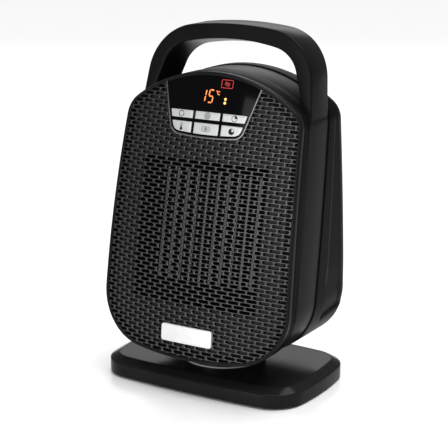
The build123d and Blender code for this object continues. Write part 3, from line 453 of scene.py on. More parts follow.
def arch(top, crown, half, spread, corner):
    """Points from the left foot of an arch to the right one: legs, rounded corners, flat crown."""
    knee = np.array((half, top - fall(crown, half)))
    foot = np.array((half + spread, shoulder[1]))
    leg = (foot - knee) / np.linalg.norm(foot - knee)
    inward = np.array((leg[1], -leg[0]))
    inward *= np.sign(-inward[0])
    middle = np.array((0, top - crown))
    start = knee + inward * corner - middle
    run = -start @ leg - math.sqrt((start @ leg)**2 - start @ start + (crown - corner)**2)
    centre = middle + start + leg * run
    bend = np.linspace(math.atan2(*-inward[::-1]), math.atan2(*(centre - middle)[::-1]), 25)
    right = [foot + leg * LEG_REST + (centre - inward * corner - foot - leg * LEG_REST) * t
             for t in np.linspace(0, 1, 25)[:-1]]
    right += [centre + corner * np.array((math.cos(a), math.sin(a))) for a in bend]
    for angle in np.linspace(bend[-1], math.pi / 2, 33)[1:]:
        right.append(middle + crown * np.array((math.cos(angle), math.sin(angle))))
    right = np.array(right)
    return np.concatenate((right * (-1, 1), right[-2::-1]))


handle_top = box_mm("handle_band")[1][2]
outer_arch = arch(handle_top, ARCH_CROWN, ARCH_HALF, ARCH_SPREAD, ARCH_ROUND)
front_grip = arch(handle_top - GRIP_THICKNESS, GRIP_CROWN, GRIP_HALF, GRIP_SPREAD, GRIP_ROUND)
rear_grip = arch(handle_top - GRIP_THICKNESS - GRIP_DRAFT, GRIP_CROWN, GRIP_HALF - GRIP_DRAFT, GRIP_SPREAD,
                 GRIP_ROUND)
bm = bmesh.new()
sections = []
for outer, front, rear in zip(outer_arch, front_grip, rear_grip):
    section = []
    for across, along in eased([(0, 0, HANDLE_EDGE), (10, 0, HANDLE_EDGE),
                                (10, BAND_DEPTH, HANDLE_EDGE), (0, BAND_DEPTH, HANDLE_EDGE)]):
        y = leaning(0, outer[1], BAND_FRONT + along)
        grip = front + (rear - front) * (y - GRIP_FRONT) / (GRIP_REAR - GRIP_FRONT)
        x, z = outer + (grip - outer) * across / 10
        section.append((x, leaning(x, z, BAND_FRONT + along), z))
    sections.append(section)
loft(bm, sections)
band_inner = BAND_INSET + BAND_WALL
band_profile = eased([
    (band_inner, BAND_FRONT, 0), (BAND_INSET, BAND_FRONT, 0.5),
    (BAND_INSET, BAND_REAR, 0.5), (band_inner, BAND_REAR, 0),
])
loft(bm, hoop([(inset, leaning, back) for inset, back in band_profile]), closed=True)
handle_black = moulded("satin black handle", (0.006, 0.006, 0.0065), (0.009, 0.009, 0.0095), 0.26, 0.36,
                       shine=0.045)
piece("carrying_handle", bm, handle_black, "heater", "casing", "handle_band")


# ---------------------------------------------------------------- rear casing
# The rear shell of the body in the same plastic, rounded at the back. A shallow crease runs down
# each side into a finger scoop, and the rear wall has the opening for the air intake.
BODY_BACK = box_mm("rear_housing")[1][1]
BACK_ROUND = 21.5
TAIL_START = 9.0
TAIL_RISE = 11.0
TAIL_SLOPE = TAIL_RISE / (BODY_BACK - TAIL_START)
INTAKE_HALF_WIDTH = 56.0
INTAKE_HALF_HEIGHT = 59.0
INTAKE_Z = 122.5
SCREW_SPOTS = ((75.7, 220.1), (79.7, 72.5))
SCREW_BORE = 3.1
SCOOP_Z = 74.0
SCOOP_DEPTH = 2.2


def toward_back(share):
    """A surface between the rear edge of the handle's ring and the start of the back's rounding."""
    def surface(x, z, back):
        return leaning(x, z, BAND_REAR) * (1 - share) + (BODY_BACK - BACK_ROUND) * share + back
    return surface


def squared_back(x, z, forward):
    return BODY_BACK - forward + 0 * x


def smooth_step(value):
    value = np.clip(value, 0, 1)
    return value * value * (3 - 2 * value)


def shaped(ring, lift=0.0, dented=True):
    """Raises the tail of the underside, and presses the crease and scoop into the sides."""
    x, y, z = ring.T
    floor = body_bottom + lift + TAIL_SLOPE * (y - TAIL_START)
    z = np.maximum(z, floor)
    if dented:
        crease_y = leaning(x, z, BAND_REAR) + 10 + 0.045 * (235 - z)
        inside_height = smooth_step((z - 52) / 12) * smooth_step((238 - z) / 20)
        behind = smooth_step((y - crease_y) / 1.5) * smooth_step((BODY_BACK - 4 - y) / 22)
        crease = 0.45 * behind * inside_height
        scoop_top = smooth_step((SCOOP_Z + 34 - z) / 32)
        scoop_bottom = smooth_step((z - SCOOP_Z + 16) / 5 - 0.03 * (y - crease_y))
        scoop = SCOOP_DEPTH * behind * scoop_top * scoop_bottom
        flank = smooth_step((np.abs(x) - 60) / 15)
        x = x - np.sign(x) * flank * (crease + scoop)
    return np.column_stack((x, y, z))


def intake_ring(inner, back):
    """The edge of the intake opening, with one point for each point of the body's outline."""
    x, z = moved_in(body_outline, BACK_ROUND).T
    z = z - INTAKE_Z
    scale = np.minimum((INTAKE_HALF_WIDTH - inner) / np.maximum(np.abs(x), 1e-6),
                       (INTAKE_HALF_HEIGHT - inner) / np.maximum(np.abs(z), 1e-6))
    return np.column_stack((x * scale, np.full(len(x), BODY_BACK - back), z * scale + INTAKE_Z))


def bored(bm, bores):
    """The mesh with round holes through it: each is a start, a direction, a length and a radius."""
    cutter = bmesh.new()
    for start, direction, length, radius in bores:
        turn = Vector(direction).to_track_quat("Z", "Y").to_matrix().to_4x4()
        place = Matrix.Translation(Vector(start) + Vector(direction) * length / 2) @ turn
        bmesh.ops.create_cone(cutter, cap_ends=True, segments=40, radius1=radius, radius2=radius,
                              depth=length, matrix=place)
    workpieces = []
    for mesh_source in (bm, cutter):
        bmesh.ops.recalc_face_normals(mesh_source, faces=mesh_source.faces)
        mesh = bpy.data.meshes.new("workpiece")
        mesh_source.to_mesh(mesh)
        mesh_source.free()
        workpieces.append(bpy.data.objects.new("workpiece", mesh))
        bpy.context.collection.objects.link(workpieces[-1])
    cut = workpieces[0].modifiers.new("bores", "BOOLEAN")
    cut.object = workpieces[1]
    cut.operation = "DIFFERENCE"
    cut.solver = "EXACT"
    cut_mesh = workpieces[0].evaluated_get(bpy.context.evaluated_depsgraph_get()).to_mesh()
    result = bmesh.new()
    result.from_mesh(cut_mesh)
    for workpiece in workpieces:
        bpy.data.objects.remove(workpiece)
    return result


rings = [shaped(ring) for ring in hoop(
    [(inset, leaning, back) for inset, back in
     eased([(WALL, BAND_REAR, 0), (0, BAND_REAR, 0.7), (0, BAND_REAR + 3, 0)])]
    + [(0, toward_back(share), 0) for share in np.linspace(0, 1, 26)[3:]]
    + [(BACK_ROUND * (1 - math.cos(turn)), squared_back, BACK_ROUND * (1 - math.sin(turn)))
       for turn in np.linspace(0, math.pi / 2, 19)[1:]]
)]
rings += [intake_ring(-0.8, 0), intake_ring(-0.3, 0.25), intake_ring(-0.3, WALL),
          intake_ring(3, WALL), intake_ring(3, WALL + 2)]
inner_turns = np.linspace(math.pi / 2, 0, 7)
rings += [shaped(ring, WALL, False) for ring in hoop(
    [(WALL + (BACK_ROUND - WALL) * (1 - math.cos(turn)), squared_back,
      WALL + 2 * math.sin(turn) + (BACK_ROUND - WALL) * (1 - math.sin(turn))) for turn in inner_turns]
)]
bm = bmesh.new()
loft(bm, rings, closed=True)
bores = [((side * x, BODY_BACK - 24, z), (0, 1, 0), 40, SCREW_BORE)
         for x, z in SCREW_SPOTS for side in (-1, 1)]
bores += [((0, 0, 20), (0, 0, 1), 20, 13), ((0, 17, 20), (0, 0, 1), 22, 3.4)]
piece("rear_casing", bored(bm, bores), satin_black, "heater", "casing", "rear_housing", sharp=35)
dress(steel, "housing_screws")


# ---------------------------------------------------------------- air intake
# A flat cover in the rear wall with two columns of long slots, snapped into the rear casing over
# a foam dust filter.
INTAKE_ROWS = 13
INTAKE_PITCH = 8.0
INTAKE_SLOT = (46.0, 4.0)


def slot_ring(centre, size, grow=0.0):
    """Twenty points round a slot with round ends, anticlockwise from its right end."""
    half, radius = size[0] / 2 - size[1] / 2, size[1] / 2
    ring = []
    for turn, share in ((0, 1), (30, 1), (60, 1), (90, 1), (90, 0.5), (90, 0), (90, -0.5), (90, -1),
                        (120, -1), (150, -1), (180, -1), (210, -1), (240, -1), (270, -1), (270, -0.5),
                        (270, 0), (270, 0.5), (270, 1), (300, 1), (330, 1)):
        angle = math.radians(turn)
        ring.append((centre[0] + half * share + (radius + grow) * math.cos(angle),
                     centre[1] + (radius + grow) * math.sin(angle)))
    return ring


def cell_ring(low, high):
    """Twenty points round a rectangle, in the same order as slot_ring."""
    middle = (low[1] + high[1]) / 2
    across = np.linspace(high[0], low[0], 9)
    ring = [(high[0], middle)] + [(u, high[1]) for u in across]
    return ring + [(low[0], middle)] + [(u, low[1]) for u in across[::-1]]


def slotted_cell(bm, low, high, centre, size, thickness, ease):
    """One slot in a rectangle of sheet, with eased front edges. The third coordinate is the depth."""
    edge = cell_ring(low, high)
    rim = slot_ring(centre, size, ease)
    wall = slot_ring(centre, size)
    loft(bm, [[(u, w, depth) for u, w in ring] for ring, depth in
              ((edge, thickness), (edge, 0), (rim, 0), (wall, ease), (wall, thickness))], closed=True)


bm = bmesh.new()
half_rows = INTAKE_ROWS * INTAKE_PITCH / 2
for side in (-1, 1):
    inner_u, outer_u = sorted((0, side * (INTAKE_HALF_WIDTH - 0.1)))
    for row in range(INTAKE_ROWS):
        low = -half_rows + row * INTAKE_PITCH
        slotted_cell(bm, (inner_u, low), (outer_u, low + INTAKE_PITCH), (side * 25.5, low + INTAKE_PITCH / 2),
                     INTAKE_SLOT, WALL, 0.4)
for end in (-1, 1):
    low, high = sorted((end * half_rows, end * (INTAKE_HALF_HEIGHT - 0.1)))
    edge = cell_ring((-INTAKE_HALF_WIDTH + 0.1, low), (INTAKE_HALF_WIDTH - 0.1, high))
    for depth in (0, WALL):
        bm.faces.new([bm.verts.new((u, w, depth)) for u, w in edge])
for vert in bm.verts:
    u, w, depth = vert.co
    vert.co = (-u, BODY_BACK - 0.2 - depth, INTAKE_Z + w)
bmesh.ops.remove_doubles(bm, verts=bm.verts, dist=0.002)
piece("intake_cover", bm, satin_black, "heater", "casing", "intake_grille", sharp=25)

foam = moulded("dust filter foam", (0.020, 0.020, 0.020), (0.050, 0.050, 0.048), 0.9, 1.0, 900, 0.4)
dress(foam, "dust_filter")


# ---------------------------------------------------------------- front grille
# One thin domed moulding with rows of short round-ended slots. Every second row is shifted by half
# a slot, and the webs between them are narrow. Its edge lies under the bezel and the panel's trim.
SLOT_PITCH = 11.0
ROW_PITCH = 3.346
SLOT_SIZE = (9.25, 2.6)
SLOT_SHIFT = 2.75
GRILLE_THICKNESS = 1.7
PANEL_TOP = (46.8, 111.0)
PANEL_LOW = (33.0, 63.8)
PANEL_SAG = 1.8
PANEL_CORNER = 9.0
TRIM_WIDTH = 1.7


def room_inside(outline, x, z):
    """How far places lie inside a convex outline; negative outside it."""
    points, normals = outline[0][::3], outline[1][::3]
    room = np.full(np.shape(x), 1e9)
    for point, normal in zip(points, normals):
        room = np.minimum(room, (point[0] - x) * normal[0] + (point[1] - z) * normal[1])
    return room


widening = (PANEL_TOP[0] - PANEL_LOW[0]) / (PANEL_TOP[1] - PANEL_LOW[1])
panel_high = (PANEL_TOP[0] + 25 * widening, PANEL_TOP[1] + 25)
panel_side = ((PANEL_LOW[0] + panel_high[0]) / 2 + 0.02, (PANEL_LOW[1] + panel_high[1]) / 2)
panel_outline = rounded_outline(
    [(-PANEL_LOW[0], PANEL_LOW[1]), PANEL_LOW, panel_high, (-panel_high[0], panel_high[1])],
    [(0, PANEL_LOW[1] - PANEL_SAG), panel_side, (0, panel_high[1] + 0.1), (-panel_side[0], panel_side[1])],
    [PANEL_CORNER, PANEL_CORNER, 0.5, 0.5], 0.8,
)

bm = bmesh.new()
for row in range(-37, 38):
    w = row * ROW_PITCH
    shift = SLOT_SHIFT if row % 2 == 0 else -SLOT_SHIFT
    for column in range(-9, 10):
        u = shift + column * SLOT_PITCH
        x, y, z = face_place(PLAN_RADIUS * math.sin(u / PLAN_RADIUS), w, 0)
        if room_inside(body_outline, x, z) < -6 or room_inside(panel_outline, x, w) > 8:
            continue
        slotted_cell(bm, (u - SLOT_PITCH / 2, w - ROW_PITCH / 2), (u + SLOT_PITCH / 2, w + ROW_PITCH / 2),
                     (u, w), SLOT_SIZE, GRILLE_THICKNESS, 0.16)
flat = np.array([vert.co for vert in bm.verts])
across = (PLAN_RADIUS - flat[:, 2]) * np.sin(flat[:, 0] / PLAN_RADIUS)
places = face_place(across, flat[:, 1], flat[:, 2])
for vert, place in zip(bm.verts, places):
    vert.co = place
bm.verts.index_update()
corner_sets = np.array([[vert.index for vert in face.verts] for face in bm.faces])
middles = places[corner_sets].mean(axis=1)
heights = flat[corner_sets].mean(axis=1)[:, 1]
hidden = room_inside(body_outline, middles[:, 0], middles[:, 2]) < BEZEL_WIDTH - 1.4
hidden |= room_inside(panel_outline, middles[:, 0], heights) > -TRIM_WIDTH / 2
bmesh.ops.delete(bm, geom=[face for face, drop in zip(list(bm.faces), hidden) if drop], context="FACES")
bmesh.ops.remove_doubles(bm, verts=bm.verts, dist=0.01)
grille_grey = moulded("satin graphite grille", (0.012, 0.012, 0.013), (0.018, 0.018, 0.019), 0.24, 0.32,
                      shine=0.5)
piece("slotted_grille", bm, grille_grey, "heater", "grille", "front_grille", sharp=50)


# ---------------------------------------------------------------- duct and heating element
# Behind the grille lies a dark baffle with the outlet window. Inside its duct sits the element:
# upright aluminium tubes with ceramic strips, folded fins between them, and a heat-proof frame.
dress(moulded("matt black baffle", (0.0045, 0.0045, 0.0048), (0.007, 0.007, 0.0073), 0.50, 0.65,
              shine=0.3), "duct_frame")
dress(moulded("heat-proof frame", (0.0008, 0.0008, 0.0008), (0.0015, 0.0015, 0.0015), 0.6, 0.8,
              shine=0.05), "ptc_frame")
dress(metal("aluminium tube", (0.11, 0.105, 0.10), (0.17, 0.165, 0.155), 0.40, 0.60), "ptc_tubes")
TUBE_COUNT = 10
TUBE_WIDTH = 2.4
FOLD_PITCH = 1.55
FOLD_GAP = 0.05             # between the folds and the tubes
FIN_SHEET = 0.35
FIN_FRONT = 23.7
FIN_REAR = 37.4
ELEMENT_W = -14.2
ELEMENT_HALF_HEIGHT = 46.0


def flat_place(u, w, depth):
    """A place square behind the middle of the face."""
    y = FACE_Y + w * math.sin(LEAN) + depth * math.cos(LEAN)
    return (u, y, FACE_Z + w * math.cos(LEAN) - depth * math.sin(LEAN))


fin_reach = box_mm("ptc_fins")[1][0]
tube_pitch = 2 * (fin_reach + TUBE_WIDTH / 2) / (TUBE_COUNT - 1)
fold_half = (tube_pitch - TUBE_WIDTH) / 2 - FOLD_GAP
bm = bmesh.new()
for bank in range(TUBE_COUNT - 1):
    centre = (bank - (TUBE_COUNT - 2) / 2) * tube_pitch
    rows = []
    for fold in range(int(2 * ELEMENT_HALF_HEIGHT / FOLD_PITCH) + 1):
        u = centre + (fold_half if fold % 2 else -fold_half)
        w = ELEMENT_W - ELEMENT_HALF_HEIGHT + fold * FOLD_PITCH
        rows.append([bm.verts.new(flat_place(u, w, depth)) for depth in (FIN_FRONT, FIN_REAR)])
    for near, far in zip(rows, rows[1:]):
        bm.faces.new((near[0], near[1], far[1], far[0]))
bmesh.ops.solidify(bm, geom=list(bm.faces), thickness=FIN_SHEET)
fin_metal = metal("aluminium fin", (0.28, 0.26, 0.24), (0.50, 0.47, 0.43), 0.45, 0.65, 900, 0.02, 0.7)
piece("folded_fins", bm, fin_metal, "heater", "element_metal", "ptc_fins")
dress(moulded("grey ceramic", (0.28, 0.27, 0.26), (0.36, 0.35, 0.33), 0.6, 0.8), "ptc_ceramics")
dress(metal("tinned brass", (0.62, 0.55, 0.36), (0.72, 0.66, 0.46), 0.3, 0.45), "ptc_terminals")
dress(moulded("brown phenolic", (0.05, 0.025, 0.015), (0.08, 0.04, 0.02), 0.35, 0.5), "thermal_cutout")
dress(moulded("glass fibre sleeve", (0.55, 0.52, 0.45), (0.70, 0.67, 0.60), 0.7, 0.9, 1500, 0.08),
      "thermal_fuse")


# ---------------------------------------------------------------- fan and motor
# A moulded wheel in a round shroud, driven by an open motor: a stack of steel sheets round the
# rotor, a copper winding on its lower limb and two pressed bearing bars.
dress(moulded("grey fan plastic", (0.06, 0.06, 0.062), (0.09, 0.09, 0.092), 0.4, 0.55), "fan_wheel")
dress(dark_plastic, "fan_shroud")
dress(metal("motor steel sheet", (0.20, 0.20, 0.22), (0.32, 0.32, 0.34), 0.4, 0.55, 1500, 0.05),
      "motor_stator")
dress(metal("enamelled copper", (0.55, 0.22, 0.10), (0.72, 0.32, 0.16), 0.3, 0.45, 1800, 0.08), "motor_coil")
dress(steel, "rotor_shaft", "motor_brackets", "module_screws")


# ---------------------------------------------------------------- display panel
# A glossy black lens at the top of the face, held from behind with the buttons and the board, and
# a thin silver strip round its sides and lower edge.
LENS_PROUD = 0.4
TRIM_PROUD = 0.9

piano_black = moulded("piano black lens", (0.002, 0.002, 0.0025), (0.003, 0.003, 0.0035), 0.04, 0.08,
                      grain=300, grain_depth=0.0005, shine=0.05)
dress(piano_black, "display_panel")
dress(dark_plastic, "panel_carrier", "tact_switches")
dress(moulded("green circuit board", (0.010, 0.09, 0.035), (0.014, 0.12, 0.045), 0.3, 0.45), "control_board")
dress(moulded("black components", (0.012, 0.012, 0.013), (0.03, 0.03, 0.03), 0.35, 0.5), "board_components",
      "display_module")

trim_silver = metal("satin silver strip", (0.13, 0.13, 0.135), (0.19, 0.19, 0.195), 0.24, 0.36)
strip = np.column_stack((*panel_outline[0].T, *panel_outline[1].T))
edge_place = face_place(strip[:, 0], strip[:, 1], 0)
strip = strip[room_inside(body_outline, edge_place[:, 0], edge_place[:, 2]) > BEZEL_WIDTH - 0.8]
gap = np.argmax(np.linalg.norm(np.diff(strip[:, :2], axis=0, append=strip[:1, :2]), axis=1))
strip = np.roll(strip, -gap - 1, axis=0)
sections = []
for u, w, normal_u, normal_w in strip:
    section = []
    for out, depth in eased([(0.12, 1.5, 0), (0.12, -TRIM_PROUD, 0.5), (TRIM_WIDTH, -TRIM_PROUD, 0.7),
                             (TRIM_WIDTH, 1.5, 0)]):
        section.append(face_place(u + normal_u * out, w + normal_w * out, depth))
    sections.append(section)
bm = bmesh.new()
loft(bm, sections)
piece("panel_strip", bm, trim_silver, "heater", "silver_trim", "panel_trim")


# ---------------------------------------------------------------- lit symbols
# What the display shows through the lens: an orange temperature with its degree sign, two yellow
# lamps, and a red frame with heat waves.
SYMBOL_DEPTH = -LENS_PROUD - 0.06
SLANT = 0.10


def glowing(name, colour, strength):
    """A lamp behind the lens, a little brighter in its middle parts."""
    finish = Finish(name, {"Roughness": 0.4, "Emission Strength": strength})
    flicker = finish.noise(500)
    dim = tuple(0.75 * part for part in colour)
    finish.surface({"Base Color": finish.between(flicker, dim, colour),
                    "Emission Color": finish.between(flicker, dim, colour)})
    return finish.material


def stroke(bm, path, width, depth, closed=False):
    """A flat line of even width along a path on the face."""
    path = np.array(path, float)
    rows = []
    for i, point in enumerate(path):
        before = path[i - 1] if i or closed else point
        after = path[(i + 1) % len(path)] if i + 1 < len(path) or closed else point
        ahead = (after - before) / np.linalg.norm(after - before)
        square = np.array((-ahead[1], ahead[0])) * width / 2
        if not np.allclose(before, point) and not np.allclose(after, point):
            one = (point - before) / np.linalg.norm(point - before)
            square /= max(0.5, abs(one @ ahead))
        rows.append([bm.verts.new(face_place(*(point + side * square), depth)) for side in (-1, 1)])
    pairs = list(zip(rows, rows[1:])) + ([(rows[-1], rows[0])] if closed else [])
    for near, far in pairs:
        bm.faces.new((near[0], near[1], far[1], far[0]))


def sector(bm, centre, radius, start, end, depth):
    """A flat disc, or a slice of one, on the face. Angles are in degrees, anticlockwise."""
    rim = [centre]
    for angle in np.radians(np.linspace(start, end, 25)):
        rim.append((centre[0] + radius * math.cos(angle), centre[1] + radius * math.sin(angle)))
    if end - start == 360:
        rim = rim[1:-1]
    bm.faces.new([bm.verts.new(face_place(u, w, depth)) for u, w in rim])


def arc_path(centre, radius, start, end, count=25):
    turns = np.radians(np.linspace(start, end, count))
    return [(centre[0] + radius * math.cos(a), centre[1] + radius * math.sin(a)) for a in turns]


def rounded_box_path(centre, half_u, half_w, corner):
    path = []
    for start, side_u, side_w in ((0, 1, 1), (90, -1, 1), (180, -1, -1), (270, 1, -1)):
        turn = (centre[0] + side_u * (half_u - corner), centre[1] + side_w * (half_w - corner))
        path += arc_path(turn, corner, start, start + 90, 5)
    return path


def leaning_digit(bm, left, bottom, width, height, bars):
    """A seven-bar digit: top, upper right, lower right, bottom, lower left, upper left, middle."""
    half = height / 2
    ends = {
        "top": ((0, height), (width, height)), "upper_right": ((width, height), (width, half)),
        "lower_right": ((width, half), (width, 0)), "bottom": ((0, 0), (width, 0)),
        "lower_left": ((0, half), (0, 0)), "upper_left": ((0, height), (0, half)),
        "middle": ((0, half), (width, half)),
    }
    for bar in bars:
        start, end = (np.array(p, float) for p in ends[bar])
        trimmed = [start + (end - start) * t for t in (0.10, 0.90)]
        stroke(bm, [(left + u + SLANT * w, bottom + w) for u, w in trimmed], 1.0, SYMBOL_DEPTH)


bm = bmesh.new()
leaning_digit(bm, -5.1, 90.8, 0.0, 9.8, ["upper_right", "lower_right"])
leaning_digit(bm, -2.0, 90.3, 4.0, 10.4, ["top", "upper_left", "middle", "lower_right", "bottom"])
stroke(bm, arc_path((5.6, 100.0), 0.45, 0, 360, 13)[:-1], 0.3, SYMBOL_DEPTH, closed=True)
stroke(bm, arc_path((7.7, 98.6), 1.35, 50, 310, 17), 0.55, SYMBOL_DEPTH)
piece("lit_temperature", bm, glowing("orange lamp", (1.0, 0.26, 0.06), 1.05), "heater", "component_black")

bm = bmesh.new()
sector(bm, (14.5, 94.1), 1.15, 0, 360, SYMBOL_DEPTH)
sector(bm, (14.4, 91.0), 1.15, 0, 360, SYMBOL_DEPTH)
piece("lit_dots", bm, glowing("yellow lamp", (1.0, 0.55, 0.14), 1.1), "heater", "component_black")

bm = bmesh.new()
stroke(bm, rounded_box_path((14.25, 106.6), 5.3, 3.3, 0.9), 0.42, SYMBOL_DEPTH, closed=True)
for line in (-1.1, 0, 1.1):
    wave = [(12.0 + t * 4.6, 106.6 + line + 0.45 * math.sin(t * 2 * math.pi)) for t in np.linspace(0, 1, 15)]
    stroke(bm, wave, 0.40, SYMBOL_DEPTH)
piece("lit_heat_sign", bm, glowing("red lamp", (0.50, 0.020, 0.022), 0.9), "heater", "component_black")


# ---------------------------------------------------------------- push buttons
# Six silver-painted caps in two rows under the display. The outer ones follow the panel's edge.
# Each cap moves on its own, with a dark printed symbol on its face.
PANEL_RIM = 1.2
BUTTON_PLAY = 0.3
BUTTON_PROUD = 0.7
MIDDLE_HALF = 12.2
COLUMN_GAP = 1.8
UPPER_ROW = (75.6, 82.6)
LOWER_ROW = (60.0, 73.2)
BUTTON_CELLS = {
    "mode": (-1, UPPER_ROW), "power": (0, UPPER_ROW), "timer": (1, UPPER_ROW),
    "temp": (-1, LOWER_ROW), "swing": (0, LOWER_ROW), "hold": (1, LOWER_ROW),
}


def cut_straight(polygon, axis, limit, side):
    """The part of a convex polygon on one side of an upright or level line."""
    kept = []
    for start, end in zip(polygon, polygon[1:] + polygon[:1]):
        start_in, end_in = (side * (p[axis] - limit) <= 0 for p in (start, end))
        if start_in:
            kept.append(start)
        if start_in != end_in:
            share = (limit - start[axis]) / (end[axis] - start[axis])
            kept.append(tuple(a + (b - a) * share for a, b in zip(start, end)))
    return kept


def cap_outline(name):
    column, (low, high) = BUTTON_CELLS[name]
    left, right = (-MIDDLE_HALF, MIDDLE_HALF) if column == 0 else (MIDDLE_HALF + COLUMN_GAP, 99)
    if column < 0:
        left, right = -right, -left
    polygon = [tuple(p) for p in moved_in(panel_outline, PANEL_RIM + BUTTON_PLAY)]
    for axis, limit, side in ((0, left + BUTTON_PLAY, -1), (0, right - BUTTON_PLAY, 1),
                              (1, low + BUTTON_PLAY, -1), (1, high - BUTTON_PLAY, 1)):
        polygon = cut_straight(polygon, axis, limit, side)
    return polygon


def raised_plate(bm, polygon, front, rear, ease, step):
    """A plate on the face with eased front edges, cut every step so that it follows the dome."""
    base = bm.faces.new([bm.verts.new((u, w, rear)) for u, w in polygon])
    lifted = bmesh.ops.extrude_face_region(bm, geom=[base])["geom"]
    cap = [item for item in lifted if isinstance(item, bmesh.types.BMFace)][0]
    bmesh.ops.translate(bm, verts=cap.verts, vec=(0, 0, front - rear))
    bmesh.ops.bevel(bm, geom=list(cap.edges), offset=ease, segments=3, profile=0.5, affect="EDGES")
    spread = np.array(polygon)
    for axis in (0, 1):
        square = (1, 0, 0) if axis == 0 else (0, 1, 0)
        for limit in np.arange(spread[:, axis].min() + step / 2, spread[:, axis].max(), step):
            place = [limit * part for part in square]
            geometry = list(bm.verts) + list(bm.edges) + list(bm.faces)
            bmesh.ops.bisect_plane(bm, geom=geometry, plane_co=place, plane_no=square)
    for vert in bm.verts:
        vert.co = face_place(vert.co.x, vert.co.y, vert.co.z)


def cap_middle(name):
    spread = np.array(cap_outline(name))
    return (spread.min(axis=0) + spread.max(axis=0)) / 2


silver_paint = metal("silver paint", (0.50, 0.51, 0.51), (0.57, 0.58, 0.58), 0.36, 0.48, 2400, 0.006, 0.35)
for name in BUTTON_CELLS:
    bm = bmesh.new()
    raised_plate(bm, cap_outline(name), -BUTTON_PROUD, 2.5, 0.45, 3.0)
    piece(f"{name}_cap", bm, silver_paint, f"button_{name}_cap", "button_silver", f"button_{name}", sharp=40)

print_grey = moulded("dark grey print", (0.006, 0.006, 0.007), (0.010, 0.010, 0.011), 0.45, 0.6, shine=0.2)
PRINT_DEPTH = -BUTTON_PROUD - 0.05
LINE = 0.55

symbols = {}
for name in BUTTON_CELLS:
    symbols[name] = (bmesh.new(), cap_middle(name))
bm, spot = symbols["mode"]
for start in (20, 140, 260):
    stroke(bm, arc_path(spot, 2.4, start, start + 85, 11), LINE, PRINT_DEPTH)
    tip = arc_path(spot, 2.4, start + 85, start + 112, 2)
    sides = (arc_path(spot, 3.2, start + 85, start + 86, 2)[:1]
             + arc_path(spot, 1.6, start + 85, start + 86, 2)[:1])
    bm.faces.new([bm.verts.new(face_place(u, w, PRINT_DEPTH)) for u, w in [tip[1], *sides]])
bm, spot = symbols["power"]
stroke(bm, arc_path(spot, 2.5, 0, 360, 33)[:-1], LINE, PRINT_DEPTH, closed=True)
stroke(bm, arc_path(spot, 1.1, 130, 410, 21), LINE, PRINT_DEPTH)
stroke(bm, [spot + (0, 0.2), spot + (0, 1.5)], LINE, PRINT_DEPTH)
bm, spot = symbols["timer"]
stroke(bm, arc_path(spot, 2.5, 0, 360, 33)[:-1], 0.5, PRINT_DEPTH, closed=True)
sector(bm, spot, 2.4, 0, 90, PRINT_DEPTH)
bm, spot = symbols["temp"]
stroke(bm, rounded_box_path(spot + (0, 0.7), 0.75, 2.1, 0.7), 0.35, PRINT_DEPTH, closed=True)
sector(bm, spot + (0, -1.9), 1.3, 0, 360, PRINT_DEPTH - 0.01)
stroke(bm, [spot + (0, -1.2), spot + (0, 1.2)], 0.5, PRINT_DEPTH - 0.01)
bm, spot = symbols["swing"]
stroke(bm, rounded_box_path(spot, 3.9, 2.0, 1.0), 0.32, PRINT_DEPTH, closed=True)
stroke(bm, arc_path(spot, 1.2, 0, 360, 21)[:-1], 0.35, PRINT_DEPTH, closed=True)
stroke(bm, arc_path(spot, 0.45, 0, 360, 13)[:-1], 0.35, PRINT_DEPTH, closed=True)
for side in (-1, 1):
    stroke(bm, arc_path(spot + (side * 1.4, 0), 1.1, 90 - side * 40, 90 - side * 140, 9), 0.3, PRINT_DEPTH)
bm, spot = symbols["hold"]
stroke(bm, arc_path(spot, 2.5, 0, 360, 33)[:-1], 0.35, PRINT_DEPTH, closed=True)
sector(bm, spot, 2.4, 90, 360, PRINT_DEPTH)
for name, (bm, spot) in symbols.items():
    piece(f"{name}_symbol", bm, print_grey, f"button_{name}_cap", "component_black")


# ---------------------------------------------------------------- badge
# A bare silver plate on the lower part of the grille, with rounded corners and eased edges, held
# by pins through two slots.
BADGE_CORNER = 2.5
BADGE_THICKNESS = 2.4

badge_low, badge_high = box_mm("badge_plate")
badge_half = (badge_high[0], (badge_high[2] - badge_low[2]) / 2 / math.cos(LEAN) - 0.25)
badge_w = ((badge_low[2] + badge_high[2]) / 2 - FACE_Z) / math.cos(LEAN) - 0.25
bm = bmesh.new()
raised_plate(bm, rounded_box_path((0, badge_w), badge_half[0] - 0.05, badge_half[1] - 0.05, BADGE_CORNER),
             -BADGE_THICKNESS, -0.05, 0.7, 4.0)
bright_silver = metal("bright silver badge", (0.74, 0.74, 0.75), (0.84, 0.84, 0.85), 0.26, 0.34,
                      120, 0.0, 0.5)
piece("bare_badge", bm, bright_silver, "heater", "badge_metal", "badge_plate", sharp=40)


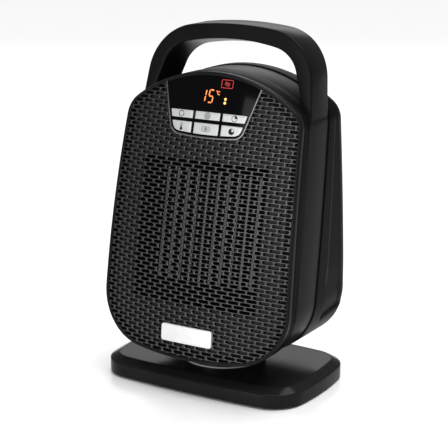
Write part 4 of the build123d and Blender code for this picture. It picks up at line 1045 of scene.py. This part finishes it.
# ---------------------------------------------------------------- studio
# A pale floor under soft light from large lamps, and the camera.
FLOOR_RADIUS = 9.0
SKY_STRENGTH = 0.30
LENS = 113.264
SENSOR_WIDTH = 36.0
CAMERA_PLACE = Vector((0.604112, -0.998166, 0.442590))
CAMERA_RIGHT = Vector((0.85516785, 0.51835118, 0))
CAMERA_UP = Vector((-0.13220054, 0.21810243, 0.96693037))

floor_mesh = bmesh.new()
bmesh.ops.create_circle(floor_mesh, cap_ends=True, segments=96, radius=FLOOR_RADIUS)
mesh = bpy.data.meshes.new("studio_floor")
floor_mesh.to_mesh(mesh)
floor_mesh.free()
mesh.materials.append(moulded("pale floor", (0.86, 0.86, 0.86), (0.89, 0.89, 0.89), 0.25, 0.35, 60, 0.0))
floor = bpy.data.objects.new("studio_floor", mesh)
bpy.context.collection.objects.link(floor)

world = bpy.data.worlds.new("studio")
world.use_nodes = True
world.node_tree.nodes["Background"].inputs["Color"].default_value = (1, 1, 1, 1)
world.node_tree.nodes["Background"].inputs["Strength"].default_value = SKY_STRENGTH
bpy.context.scene.world = world
bpy.context.scene.view_settings.view_transform = "Standard"


def lamp(name, kind, place, target, power, **settings):
    light = bpy.data.lights.new(name, kind)
    light.energy = power
    for setting, value in settings.items():
        setattr(light, setting, value)
    holder = bpy.data.objects.new(name, light)
    holder.location = place
    holder.rotation_mode = "QUATERNION"
    holder.rotation_quaternion = (Vector(target) - Vector(place)).to_track_quat("-Z", "Y")
    holder.visible_camera = False
    bpy.context.collection.objects.link(holder)


lamp("ceiling_light", "SUN", (0.25, 0.3, 2.0), (0, 0, 0), 3.6, angle=math.radians(50))
lamp("front_lamp", "AREA", (-0.35, -1.9, 0.55), (0, 0, 0.15), 14, shape="RECTANGLE", size=0.8, size_y=0.8)
lamp("back_lamp", "AREA", (-1.0, 1.66, 0.95), (0, 0, 0.25), 5, shape="RECTANGLE", size=1.4, size_y=0.7)

camera_data = bpy.data.cameras.new("camera")
camera_data.lens = LENS
camera_data.sensor_width = SENSOR_WIDTH
camera = bpy.data.objects.new("camera", camera_data)
camera_back = CAMERA_RIGHT.cross(CAMERA_UP)
turn = Matrix((CAMERA_RIGHT, CAMERA_UP, camera_back)).transposed()
camera.matrix_world = Matrix.Translation(CAMERA_PLACE) @ turn.to_4x4()
bpy.context.collection.objects.link(camera)
bpy.context.scene.camera = camera
